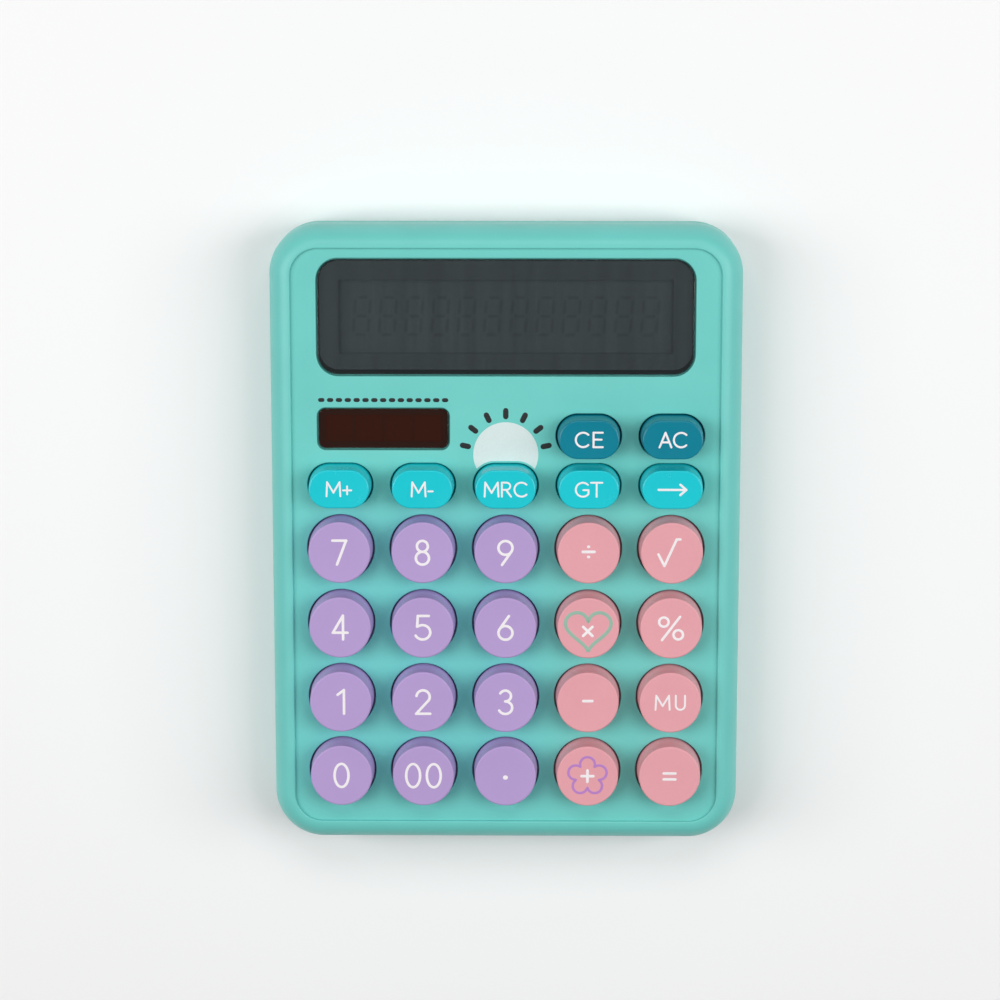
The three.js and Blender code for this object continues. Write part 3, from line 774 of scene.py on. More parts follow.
GLYPHS: dict[str, Glyph] = {
    "0": Glyph(0.58, (arc((0.29, 0.5), (0.29, 0.5), 0, 360, 36),)),
    "1": Glyph(0.26, bars((0, 0.8, 0.26, 1), (0.26, 1, 0.26, 0))),
    "2": Glyph(0.58, (
        path(arc((0.29, 0.725), (0.275, 0.275), 172, -38, 20), (0.0, 0)), *bars((0, 0, 0.58, 0)),
    )),
    "3": Glyph(0.57, (
        arc((0.28, 0.768), (0.235, 0.232), 150, -90, 18),
        arc((0.28, 0.268), (0.285, 0.268), 90, -152, 20),
    )),
    "4": Glyph(0.6, bars((0.42, 1, 0, 0.28), (0, 0.28, 0.6, 0.28), (0.42, 1, 0.42, 0))),
    "5": Glyph(0.62, (
        *bars((0.56, 1, 0.11, 1), (0.11, 1, 0.075, 0.55)),
        path((0.075, 0.55), arc((0.30, 0.305), (0.32, 0.305), 124, -152, 22)),
    )),
    "6": six(),
    "7": Glyph(0.56, bars((0, 1, 0.56, 1), (0.56, 1, 0.18, 0))),
    "8": Glyph(0.54, (
        arc((0.27, 0.77), (0.225, 0.23), 0, 360, 28),
        arc((0.27, 0.27), (0.27, 0.27), 0, 360, 32),
    )),
    "9": six().turned(),
    "A": Glyph(0.8, bars((0, 0, 0.4, 1), (0.4, 1, 0.8, 0), (0.14, 0.34, 0.66, 0.34))),
    "C": Glyph(0.85, (capital_c_arc(314),)),
    "E": Glyph(0.62, bars((0, 0, 0, 1), (0, 1, 0.62, 1), (0, 0.52, 0.54, 0.52), (0, 0, 0.62, 0))),
    "G": Glyph(0.88, (path(capital_c_arc(322), (0.9, 0.47)), path((0.9, 0.47), (0.54, 0.47)))),
    "M": Glyph(0.98, bars(
        (0, 0, 0.05, 1), (0.05, 1, 0.49, 0.26), (0.49, 0.26, 0.93, 1), (0.93, 1, 0.98, 0),
    )),
    "R": Glyph(0.64, (
        path((0, 0), (0, 1)),
        path((0, 1), (0.31, 1), arc((0.31, 0.74), (0.28, 0.26), 90, -90, 14), (0, 0.48)),
        path((0.29, 0.48), (0.64, 0)),
    )),
    "T": Glyph(0.78, bars((0, 1, 0.78, 1), (0.39, 1, 0.39, 0))),
    "U": Glyph(0.64, (path((0, 1), (0, 0.32), arc((0.32, 0.32), (0.32, 0.32), 180, 360, 16), (0.64, 1)),)),
    "+": Glyph(0.56, bars((0, 0.42, 0.56, 0.42), (0.28, 0.14, 0.28, 0.7))),
    "-": Glyph(0.3, bars((0, 0.36, 0.3, 0.36))),
}


@dataclass(frozen=True)
class Mark:
    """Centre lines of one printed mark, in metres about the cap's middle, with their width."""

    strokes: tuple[np.ndarray, ...]
    line: float


def word(text: str, height: float, line: float, spacing: float = 0.2) -> Mark:
    """A word set in the glyphs above, centred on the origin.

    Args:
        text: the characters.
        height: height of the centre lines in metres.
        line: width of the printed line in metres.
        spacing: gap between characters as a share of the height.

    Returns:
        The word's centre lines.
    """
    glyphs = [GLYPHS[letter] for letter in text]
    total = sum(glyph.width for glyph in glyphs) + spacing * (len(glyphs) - 1)
    strokes = []
    start = -total / 2
    for glyph in glyphs:
        strokes += [(stroke + (start, -0.5)) * height for stroke in glyph.strokes]
        start += glyph.width + spacing
    return Mark(tuple(strokes), line)


def figure(line: float, *strokes: np.ndarray) -> Mark:
    """A mark drawn in millimetres about the cap's middle."""
    return Mark(tuple(np.asarray(stroke, dtype=float) * MM for stroke in strokes), line * MM)


def heart_line() -> np.ndarray:
    """Heart: x = 16 sin^3 t, y = 13 cos t - 5 cos 2t - 2 cos 3t - cos 4t, scaled to the cap."""
    t = np.linspace(0, 2 * np.pi, 97)
    x = 16 * np.sin(t) ** 3
    y = 13 * np.cos(t) - 5 * np.cos(2 * t) - 2 * np.cos(3 * t) - np.cos(4 * t)
    return np.stack([x * 0.345, y * 0.335 - 0.15], axis=1)


def flower_line(petals: int = 5, reach: float = 3.0, petal: float = 1.82) -> np.ndarray:
    """Outer line of a ring of equal circles: each petal's arc ends where it meets the next."""
    half = math.pi / petals
    meet = reach * math.cos(half) + math.sqrt(petal ** 2 - (reach * math.sin(half)) ** 2)
    spread = math.degrees(math.atan2(meet * math.sin(half), meet * math.cos(half) - reach))
    runs = []
    for number in range(petals):
        turn = 90 + 360 / petals * number
        centre = (reach * math.cos(math.radians(turn)), reach * math.sin(math.radians(turn)))
        runs.append(arc(centre, (petal, petal), turn - spread, turn + spread, 14))
    return path(*runs, runs[0][:1])


def dot(x: float, y: float) -> np.ndarray:
    """A stroke so short that only its round ends show."""
    return path((x - 0.01, y), (x + 0.01, y))


DIGIT_HEIGHT = 5.85 * MM
DIGIT_LINE = 0.72 * MM
WORDS: dict[str, tuple[str, float, float, float]] = {
    "ce": ("CE", 3.5, 0.54, 0.36), "ac": ("AC", 3.5, 0.54, 0.17), "m_plus": ("M+", 3.4, 0.5, 0.2),
    "m_minus": ("M-", 3.4, 0.5, 0.2), "mrc": ("MRC", 3.4, 0.5, 0.24), "gt": ("GT", 3.4, 0.5, 0.2),
    "mu": ("MU", 3.5, 0.52, 0.42),
}
MARKS: dict[str, Mark] = {
    **{f"key_{digit}": word(digit, DIGIT_HEIGHT, DIGIT_LINE) for digit in "0123456789"},
    **{f"key_{name}": word(text, height * MM, line * MM, spacing)
       for name, (text, height, line, spacing) in WORDS.items()},
    "key_00": word("00", DIGIT_HEIGHT, DIGIT_LINE, 0.28),
    "key_point": figure(1.25, dot(0, -0.4)),
    "key_backspace": figure(0.6, *bars((-3.3, 0, 3.3, 0), (1.9, 1.25, 3.3, 0), (1.9, -1.25, 3.3, 0))),
    "key_divide": figure(0.8, *bars((-1.35, 0.3, 1.35, 0.3)), dot(0, 1.55), dot(0, -0.95)),
    "key_root": figure(
        0.68, *bars((-3.2, -0.3, -1.75, -3.1), (-1.75, -3.1, 1.15, 3.4), (1.15, 3.4, 2.0, 3.4)),
    ),
    "key_multiply": figure(0.74, *bars((-1.2, -1.9, 1.0, 0.3), (-1.2, 0.3, 1.0, -1.9))),
    "key_percent": figure(
        0.68, arc((-1.75, 1.55), (1.15, 1.15), 0, 360, 24), arc((1.75, -1.6), (1.15, 1.15), 0, 360, 24),
        path((2.15, 2.85), (-2.15, -2.9)),
    ),
    "key_minus": figure(0.76, *bars((-1.05, 0.35, 1.05, 0.35))),
    "key_plus": figure(0.76, *bars((-1.4, 0, 1.4, 0), (0, -1.4, 0, 1.4))),
    "key_equals": figure(0.72, *bars((-1.4, 0.75, 1.4, 0.75), (-1.4, -0.75, 1.4, -0.75))),
}
ORNAMENTS: dict[str, tuple[Mark, Finish]] = {
    "key_multiply": (figure(0.95, heart_line()), Finish.HEART),
    "key_plus": (figure(0.7, flower_line()), Finish.FLOWER),
}


@dataclass
class InkPress:
    """Prints marks as thin crowned ribbons on a surface."""

    film: float = 0.018 * MM
    sink: float = 0.02 * MM
    layer: float = 0.0015 * MM
    step: float = 0.15 * MM
    tip_steps: int = 6

    def ribbon(self, line: np.ndarray, width: float, extra: float) -> np.ndarray:
        """One printed line as a closed grid.

        The line is resampled at even steps. Half width is full along it and falls as
        sqrt(1 - s^2) over each round tip. The section is a low crown over a flat base.

        Args:
            line: centre line, (n, 2).
            width: full width.
            extra: how much higher and deeper than the first line it is, so that lines can cross.

        Returns:
            (stations, section, 3) points; z is relative to the surface.
        """
        lengths = np.concatenate([[0], np.cumsum(np.linalg.norm(np.diff(line, axis=0), axis=1))])
        count = max(2, int(lengths[-1] / self.step) + 1)
        along = np.linspace(0, lengths[-1], count)
        middle = np.stack([np.interp(along, lengths, line[:, i]) for i in range(2)], axis=1)
        tangent = np.gradient(middle, axis=0)
        tangent /= np.linalg.norm(tangent, axis=1, keepdims=True)
        closed = np.linalg.norm(line[0] - line[-1]) < 1e-9
        half = width / 2
        tip = np.sin(np.linspace(0, np.pi / 2, self.tip_steps + 1))[1:] * (0 if closed else 1)
        if closed:
            tangent[[0, -1]] = tangent[0] + tangent[-1]
            tangent[[0, -1]] /= np.linalg.norm(tangent[0])
            share = np.ones(count)
        else:
            before = middle[0] - tangent[0] * half * tip[::-1, None]
            after = middle[-1] + tangent[-1] * half * tip[:, None]
            share = np.concatenate([np.sqrt(1 - tip[::-1] ** 2), np.ones(count), np.sqrt(1 - tip ** 2)])
            first, last = (np.repeat(tangent[[end]], len(tip), 0) for end in (0, -1))
            tangent = np.concatenate([first, tangent, last])
            middle = np.concatenate([before, middle, after])
        normal = np.stack([-tangent[:, 1], tangent[:, 0]], axis=1)
        across = np.array([1, 0.82, 0.35, -0.35, -0.82, -1])
        crown = np.array([0, 0.85, 1, 1, 0.85, 0]) * (self.film + self.sink + 2 * extra)
        flat = middle[:, None] + normal[:, None] * (across[None, :, None] * (half * share)[:, None, None])
        level = crown * np.sqrt(share)[:, None] - self.sink - extra
        return np.concatenate([flat, level[..., None]], axis=2)

    def print(self, name: str, mark: Mark, x: float, y: float, surface: "Surface") -> bpy.types.Object:
        """Prints a mark at a place.

        Args:
            name: the new piece's name.
            mark: what to print.
            x: place of the mark's middle.
            y: place of the mark's middle.
            surface: gives the height under each point.

        Returns:
            The printed piece.
        """
        draft = Draft()
        for number, line in enumerate(mark.strokes):
            grid = self.ribbon(line, mark.line, number * self.layer)
            grid[..., 2] += surface.height(grid[..., 0], grid[..., 1])
            grid[..., :2] += (x, y)
            draft.grid(grid)
        return draft.build(name)


@dataclass(frozen=True)
class Surface:
    """A face that is flat or slightly dished about its middle."""

    level: float
    dish: float = 0.0
    radius: float = 1.0
    half_stretch: float = 0.0

    def height(self, x: np.ndarray, y: np.ndarray) -> np.ndarray:
        """level - dish * (1 - (r / radius)^2), r being the distance from the middle line."""
        beyond = np.maximum(np.abs(x) - self.half_stretch, 0)
        share = np.minimum((beyond ** 2 + y ** 2) / self.radius ** 2, 1)
        return self.level - self.dish * (1 - share)


# --- Keys ---

@dataclass(frozen=True)
class KeyCap:
    """One cap: a drafted wall, a rounded edge, a faintly dished top, a flange and a hollow."""

    node: str
    finish: Finish
    edge: float = 0.4 * MM
    draft: float = 0.35 * MM
    dish: float = 0.1 * MM
    gap: float = 0.35 * MM
    overhang: float = 0.5 * MM
    least_stretch: float = 0.1 * MM
    oval_swell: float = 0.25 * MM
    oval_tuck: float = 0.36 * MM
    flange: float = 0.9 * MM
    wall: float = 1.3 * MM
    roof: float = 1.6 * MM
    stem_rise: float = 0.2 * MM
    stem_round: float = 2.4 * MM
    stem_oval: float = 1.6 * MM
    chamfer: float = 0.1 * MM
    steps: int = 96

    def shape(self) -> tuple[Extent, float, float]:
        """The cap's box, base radius and half stretch, from its CAD node."""
        box = Extent.of(self.node)
        reach = corner_reach(box.size.y, CAP_SIDES)
        half_stretch = box.size.x / 2 - reach
        radius = reach - self.gap - self.overhang
        if half_stretch < self.least_stretch:
            return box, radius, 0.0
        return box, radius + self.oval_swell, half_stretch - self.oval_tuck

    def top(self) -> Surface:
        """The printed face, relative to the cap's middle."""
        box, radius, half_stretch = self.shape()
        return Surface(box.high.z, self.dish, radius - self.draft - self.edge, half_stretch)

    def build(self) -> bpy.types.Object:
        """Carries the cap's profile round a circle or an oval.

        Returns:
            The cap, closed and hollow from below.
        """
        box, radius, half_stretch = self.shape()
        top, bottom, bevel = box.high.z, box.low.z, self.chamfer
        flange_z = bottom + self.flange
        rim = radius - self.draft - self.edge
        reach = corner_reach(box.size.y, CAP_SIDES)
        inner = radius - self.wall
        face = np.linspace(0.001, 0.98, 8) * rim
        dished = np.stack([face, top - self.dish * (1 - (face / rim) ** 2)], axis=1)
        outside = path(
            dished, fillet((rim, top - self.edge), self.edge, 90, 4, 8),
            (radius, flange_z + 0.12 * MM), (radius + bevel, flange_z),
            (reach - bevel, flange_z), (reach, flange_z - bevel),
            (reach, bottom + bevel), (reach - bevel, bottom),
        )
        stem = self.stem_round if half_stretch == 0 else self.stem_oval
        inside = path(
            (inner, bottom), (inner, top - self.roof), (stem + 0.3 * MM, top - self.roof),
            (stem, top - self.roof - 0.3 * MM), (stem, bottom + self.stem_rise + 0.2 * MM),
            (stem - 0.2 * MM, bottom + self.stem_rise),
        )
        draft = Draft()
        draft.sweep(box.circle(0.0, self.steps, half_stretch), path(outside, inside), ((0, True), (-1, False)))
        return draft.build(f"{self.node}_cap")

    def make(self, press: InkPress) -> None:
        """Builds and prints the cap, on its own body."""
        box = Extent.of(self.node)
        settle(self.build(), self.node, self.finish, self.node)
        marks = [(MARKS[self.node], Finish.LEGEND, "legend")]
        if self.node in ORNAMENTS:
            marks.append((*ORNAMENTS[self.node], "ornament"))
        for mark, ink, kind in marks:
            printed = press.print(f"{self.node}_{kind}", mark, box.middle.x, box.middle.y, self.top())
            settle(printed, self.node, ink)
            slot_of(self.node)


@dataclass
class Keyboard:
    """All the caps, by their colour."""

    groups: dict[Finish, tuple[str, ...]] = field(default_factory=lambda: {
        Finish.DEEP_TEAL: ("ce", "ac"),
        Finish.TURQUOISE: ("m_plus", "m_minus", "mrc", "gt", "backspace"),
        Finish.LILAC: ("7", "8", "9", "4", "5", "6", "1", "2", "3", "0", "00", "point"),
        Finish.PINK: ("divide", "root", "multiply", "percent", "minus", "mu", "plus", "equals"),
    })

    def caps(self) -> list[KeyCap]:
        """Every cap with its finish."""
        return [KeyCap(f"key_{name}", finish) for finish, names in self.groups.items() for name in names]

    def make(self) -> None:
        """Builds every cap."""
        press = InkPress()
        for cap in self.caps():
            cap.make(press)


@dataclass
class KeyMat:
    """Silicone sheet on the board and a hollow dome under each cap."""

    thickness: float = 0.8 * MM
    foot_round: float = 5.05 * MM
    foot_oval: float = 3.2 * MM
    crown_share: float = 0.55
    crown_bend: float = 0.35 * MM
    wall: float = 0.5 * MM
    border: float = 0.6 * MM
    post_hole: float = 2.9 * MM
    corner: float = 1.5 * MM
    edge: float = 0.15 * MM
    divisions: int = 32
    keep: float = 0.3

    def __post_init__(self) -> None:
        """Reads the mat's box and its top face."""
        self.box = Extent.of("key_mat")
        self.top_z = self.box.low.z + self.thickness

    def foot(self, cap: KeyCap) -> float:
        """Radius of a cap's dome where it leaves the sheet."""
        return self.foot_round if cap.shape()[2] == 0 else self.foot_oval

    def outline(self, inset: float) -> np.ndarray:
        """L-shaped plan with round corners, which leaves the solar cell's corner of the board free.

        Each corner is a quarter circle about a point that lies one radius inside both its sides;
        the inner corner's circle lies outside them and keeps its centre.
        """
        low, high = self.box.low, self.box.high
        clear, memory = Extent.of("key_ce").middle, Extent.of("key_mrc").middle
        step = (clear.x - self.foot_oval - 2 * self.border, memory.y + self.foot_oval + self.border)
        radius = self.corner - inset
        turns = (
            ((high.x, low.y), (-1, 1), -90, 0), ((high.x, high.y), (-1, -1), 0, 90),
            ((step[0], high.y), (1, -1), 90, 180), ((step[0], step[1]), (-1, 1), 0, -90),
            ((low.x, step[1]), (1, -1), 90, 180), ((low.x, low.y), (1, 1), 180, 270),
        )
        runs = []
        for corner, side, start, end in turns:
            centre = (corner[0] + side[0] * self.corner, corner[1] + side[1] * self.corner)
            size = self.corner + inset if start > end else radius
            runs.append(arc(centre, (size, size), start, end, 6))
        return path(*runs)

    def sheet(self) -> bpy.types.Object:
        """Flat sheet with a hole under each dome and round each board screw's post."""
        edge, low, high = self.edge, self.box.low.z, self.top_z
        draft = Draft()
        holes = [
            Extent.of(cap.node).circle(self.foot(cap) - self.wall, self.divisions) for cap in Keyboard().caps()
        ]
        for screw in map(Extent.of, BOARD_SCREWS):
            if screw.middle.y < self.box.high.y:
                holes.append(screw.circle(self.post_hole, self.divisions))
        for hole in holes:
            draft.sweep(hole, path((0.0, low), (0.0, high)))
        side = ((edge, low), (0, low + edge), (0, high - edge), (edge, high))
        draft.grid(np.stack([at_height(self.outline(inset), z) for inset, z in side]))
        for z in (low, high):
            draft.plate(self.outline(edge), [hole.ring(0) for hole in holes], z)
        return draft.build("key_mat_sheet")

    def dome(self, cap: KeyCap) -> bpy.types.Object:
        """Hollow dome: a cone that rounds into a flat crown, outside and inside, closed at its foot."""
        foot, bend = self.foot(cap), self.crown_bend
        crown, top, wall = foot * self.crown_share, self.box.high.z, self.wall
        profile = path(
            (foot * 0.1, top), fillet((crown - bend, top - bend), bend, 90, 20, 4),
            (foot - 0.15 * MM, self.top_z + 0.3 * MM), (foot, self.top_z), (foot - wall, self.top_z),
            (crown - wall, top - 2 * wall), (foot * 0.1, top - 2 * wall),
        )
        draft = Draft()
        draft.sweep(Extent.of(cap.node).circle(0.0, self.divisions), profile, ((0, True), (-1, True)))
        return draft.build(f"{cap.node}_dome")

    def make(self) -> None:
        """Builds the sheet and its domes."""
        settle(self.sheet(), CASE_BODY, Finish.SILICONE, "key_mat")
        for cap in Keyboard().caps():
            dome = settle(self.dome(cap), CASE_BODY, Finish.SILICONE)
            slot_of("key_mat")
            middle = Extent.of(cap.node).middle
            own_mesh(dome)


# --- Case ---

@dataclass
class Case:
    """Both covers, the windows' seats and what is on the underside."""

    corner: float = 12 * MM
    rim_width: float = 5.4 * MM
    rim_rise: float = 0.8 * MM
    top_roll: tuple[float, float] = (5 * MM, 7 * MM)
    bottom_roll: tuple[float, float] = (4 * MM, 6.5 * MM)
    inner_roll: float = 1.4 * MM
    side_wall: float = 2.2 * MM
    floor_wall: float = 2.2 * MM
    panel_wall: float = 2.4 * MM
    lip: float = 0.9 * MM
    lip_rise: float = 1.5 * MM
    hole_edge: float = 0.22 * MM
    rim_edge: float = 0.35 * MM
    rim_lean: float = 0.04 * MM
    seam_edge: float = 0.2 * MM
    seat_edge: float = 0.3 * MM
    recess_edge: float = 0.2 * MM
    foot_edge: float = 0.15 * MM
    key_gap: float = 0.35 * MM
    seat_gap: float = 0.3 * MM
    case_bore: float = 1.3 * MM
    board_bore: float = 1.0 * MM
    door_bore: float = 1.2 * MM
    bore_play: float = 0.3 * MM
    post_wall: float = 1.3 * MM
    sleeve_wall: float = 1.2 * MM
    well_radius: float = 2.6 * MM
    head_height: float = 1.6 * MM
    foot_radius: float = 4.8 * MM
    foot_depth: float = 1.0 * MM
    label: tuple[tuple[float, float], tuple[float, float]] = ((-22 * MM, -44 * MM), (22 * MM, -18 * MM))

    def __post_init__(self) -> None:
        """Reads the levels from the frame."""
        top = Extent.of("top_cover")
        bottom = Extent.of("bottom_cover")
        self.width, self.length = top.size.x, top.size.y
        self.rim_z = top.high.z
        self.panel_z = self.rim_z - self.rim_rise
        self.under_z = self.panel_z - self.panel_wall
        self.seam_top = top.low.z
        self.base_z = bottom.low.z
        self.body = BoxOutline(0, 0, self.width, self.length, self.corner, 24, 10)

    def _roll(self, roll: tuple[float, float], level: float, upwards: bool, inset: float = 0.0) -> np.ndarray:
        """Quarter ellipse from the side to the flat, as (offset, z) with the side first."""
        width, height = roll
        sign = 1 if upwards else -1
        turn = np.radians(np.linspace(0, 90, 17))
        offset = -inset - width + width * np.cos(turn)
        z = level - sign * height + sign * height * np.sin(turn)
        return np.stack([offset, z], axis=1)

    def top_cover(self) -> bpy.types.Object:
        """Top cover as one closed shell: rim, panel with holes, window seats and hollow inside."""
        draft = Draft()
        edge, small, seam = self.rim_edge, self.seam_edge, self.seam_top
        rim_line = -self.rim_width
        leaned = rim_line + self.rim_lean
        outside = path(
            (rim_line, self.panel_z),
            (leaned, self.rim_z - edge), fillet((leaned + edge, self.rim_z - edge), edge, 180, 90, 6),
            self._roll(self.top_roll, self.rim_z, True)[::-1],
            (0, seam + small), fillet((-small, seam + small), small, 0, -90, 3),
        )
        hollow_roll = (self.inner_roll, self.top_roll[1] - self.panel_wall)
        inside = path(
            (-self.side_wall + self.lip + self.seat_gap, seam),
            (-self.side_wall + self.lip + self.seat_gap, seam + self.lip_rise),
            (-self.side_wall, seam + self.lip_rise),
            self._roll(hollow_roll, self.under_z, True, self.side_wall),
        )
        draft.sweep(self.body, path(outside, inside))
        features = [*self._key_holes(), *self._window_seats()]
        outer_holes = [outline.ring(profile[0][0]) for outline, profile in features]
        inner_holes = [outline.ring(profile[-1][0]) for outline, profile in features]
        for outline, profile in features:
            draft.sweep(outline, profile)
        posts = self._posts()
        for outline, profile in posts:
            draft.sweep(outline, profile, ((-1, False),))
        inner_holes += [outline.ring(profile[0][0]) for outline, profile in posts]
        draft.plate(self.body.ring(rim_line), outer_holes, self.panel_z)
        draft.plate(self.body.ring(inside[-1][0]), inner_holes, self.under_z)
        return draft.build("top_cover_shell")

    def _key_holes(self) -> list[tuple[Outline, np.ndarray]]:
        """Round and oval holes with a small edge round."""
        edge = self.hole_edge
        profile = path(fillet((edge, self.panel_z - edge), edge, 90, 180, 4), (0, self.under_z))
        shapes = (cap.shape() for cap in Keyboard().caps())
        return [(box.circle(radius + self.key_gap, 72, stretch), profile) for box, radius, stretch in shapes]

    def _window_seats(self) -> list[tuple[Outline, np.ndarray]]:
        """Stepped openings that the windows are glued into."""
        seats = []
        edge, gap = self.seat_edge, self.seat_gap
        for node, shape in (("display_window", Display), ("solar_window", SolarPanel)):
            window = Extent.of(node)
            seat_z, step = window.low.z - gap, -shape.ledge - gap
            seats.append((window.outline(shape.corner + gap, gap), path(
                fillet((edge, self.panel_z - edge), edge, 90, 180, 5),
                (0, seat_z), (step, seat_z), (step, self.under_z),
            )))
        return seats

    def _posts(self) -> list[tuple[Outline, np.ndarray]]:
        """Screw posts under the panel, each with a blind bore."""
        board = Extent.of("main_board")
        play, wall = self.bore_play, self.post_wall
        posts = []
        for nodes, bore, low_z in (
            (CASE_SCREWS, self.case_bore, self.seam_top - 1.35 * MM),
            (BOARD_SCREWS, self.board_bore, board.high.z + play),
        ):
            for screw in map(Extent.of, nodes):
                posts.append((screw.circle(bore + play, 32), path(
                    (wall, self.under_z), (wall, low_z), (0, low_z), (0, screw.high.z + play),
                )))
        return posts

    def bottom_cover(self) -> bpy.types.Object:
        """Bottom cover as one closed shell with screw wells, foot seats and a door recess."""
        draft = Draft()
        seam, small = self.seam_top - self.seat_gap, self.seam_edge
        inset = -self.side_wall
        outside = path(
            self._roll(self.bottom_roll, self.base_z, False)[::-1],
            (0, seam - small), fillet((-small, seam - small), small, 0, 90, 3),
        )
        hollow_roll = (self.inner_roll, self.bottom_roll[1] - self.floor_wall)
        floor_z = self.base_z + self.floor_wall
        lip_top = seam + 0.15 * MM + self.lip_rise
        inside = path(
            (inset + self.lip, seam), (inset + self.lip, lip_top), (inset, lip_top),
            self._roll(hollow_roll, floor_z, False, self.side_wall),
        )
        draft.sweep(self.body, path(outside, inside))
        through = self._screw_wells(floor_z)
        blind = [*self._foot_seats(), self._label_recess()]
        for outline, profile in through:
            draft.sweep(outline, profile)
        for outline, profile in blind:
            draft.sweep(outline, profile, ((-1, False),))
        doorway, pad = self._doorway(draft, floor_z)
        outer_holes = [doorway, *(outline.ring(profile[0][0]) for outline, profile in [*through, *blind])]
        inner_holes = [pad, *(outline.ring(profile[-1][0]) for outline, profile in through)]
        draft.plate(self.body.ring(outside[0][0]), outer_holes, self.base_z)
        draft.plate(self.body.ring(inside[-1][0]), inner_holes, floor_z)
        return draft.build("bottom_cover_shell")

    def _screw_wells(self, floor_z: float) -> list[tuple[Outline, np.ndarray]]:
        """Counterbored wells whose bosses stand on the inner floor."""
        wells = []
        boss_z = self.seam_top - 1.65 * MM
        step, wall = -1.0 * MM, self.post_wall
        for screw in map(Extent.of, CASE_SCREWS):
            seat_z = screw.low.z + self.head_height + self.bore_play
            wells.append((screw.circle(self.well_radius, 48), path(
                self._mouth(self.recess_edge), (0, seat_z), (step, seat_z), (step, boss_z), (wall, boss_z),
                (wall, floor_z),
            )))
        return wells

    def _mouth(self, edge: float) -> np.ndarray:
        """Rounded mouth of an opening in the underside."""
        return fillet((edge, self.base_z + edge), edge, 270, 180, 3)

    def _foot_seats(self) -> list[tuple[Outline, np.ndarray]]:
        """Shallow round seats for the rubber feet."""
        floor = self.base_z + self.foot_depth
        profile = path(self._mouth(self.foot_edge), (0, floor), (-4.0 * MM, floor))
        return [(Extent.of(f"foot_{side}").circle(self.foot_radius, 64), profile) for side in FOOT_SIDES]

    def _recess(
            self, low: Vector, high: Vector, gap: float, corner: float, depth: float) -> tuple[Outline, np.ndarray]:
        """A flat-bottomed recess in the underside."""
        outline = BoxOutline(
            (low.x + high.x) / 2, (low.y + high.y) / 2, high.x - low.x + 2 * gap, high.y - low.y + 2 * gap,
            corner + gap, 8, 4,
        )
        return outline, path(self._mouth(self.recess_edge), (0, self.base_z + depth))

    def _doorway(self, draft: Draft, floor_z: float) -> tuple[np.ndarray, np.ndarray]:
        """Recess that the battery door lies in, with the cell's sleeve and the screw's boss above it.

        Args:
            draft: the bottom cover's mesh.
            floor_z: height of the inner floor.

        Returns:
            The recess's ring in the underside and its pad's ring in the inner floor.
        """
        door, cell, screw = Extent.of("battery_door"), Extent.of("button_cell"), Extent.of("door_screw")
        around, wall = self.sleeve_wall, self.post_wall
        recess, profile = self._recess(
            door.low, door.high, self.seat_gap, Underside.door_corner, door.size.z + self.seat_gap,
        )
        seat_z = profile[-1][1]
        pad_z = floor_z + 2 * MM
        pad = door.outline(2 * MM, 2 * MM, 6, 4)
        sleeve = cell.circle(cell.size.x / 2 + around, 64)
        bore = screw.circle(self.door_bore, 24)
        closed = ((-1, False),)
        draft.sweep(recess, profile)
        draft.plate(recess.ring(profile[-1][0]), [sleeve.ring(0), bore.ring(0)], seat_z)
        draft.sweep(sleeve, path((0, seat_z), (0, cell.high.z), (around, cell.high.z), (around, pad_z)))
        draft.sweep(bore, path((0, seat_z), (0, screw.high.z + 0.6 * MM)), closed)
        draft.sweep(bore, path((wall, pad_z), (wall, screw.high.z + 1.3 * MM)), closed)
        draft.sweep(pad, path((0, floor_z), (0, pad_z)))
        draft.plate(pad.ring(0), [sleeve.ring(around), bore.ring(wall)], pad_z)
        return recess.ring(profile[0][0]), pad.ring(0)

    def label_box(self) -> tuple[Vector, Vector]:
        """Corners of the blank rating label, on the underside's front half."""
        return tuple(Vector((*corner, 0)) for corner in self.label)

    def _label_recess(self) -> tuple[Outline, np.ndarray]:
        """Shallow recess that the label is stuck in."""
        low, high = self.label_box()
        return self._recess(low, high, 0.25 * MM, 1.5 * MM, 0.3 * MM)

    def make(self) -> None:
        """Builds both covers."""
        settle(self.top_cover(), CASE_BODY, Finish.CASE, "top_cover")
        settle(self.bottom_cover(), CASE_BODY, Finish.CASE, "bottom_cover")


# --- Panel prints and windows ---

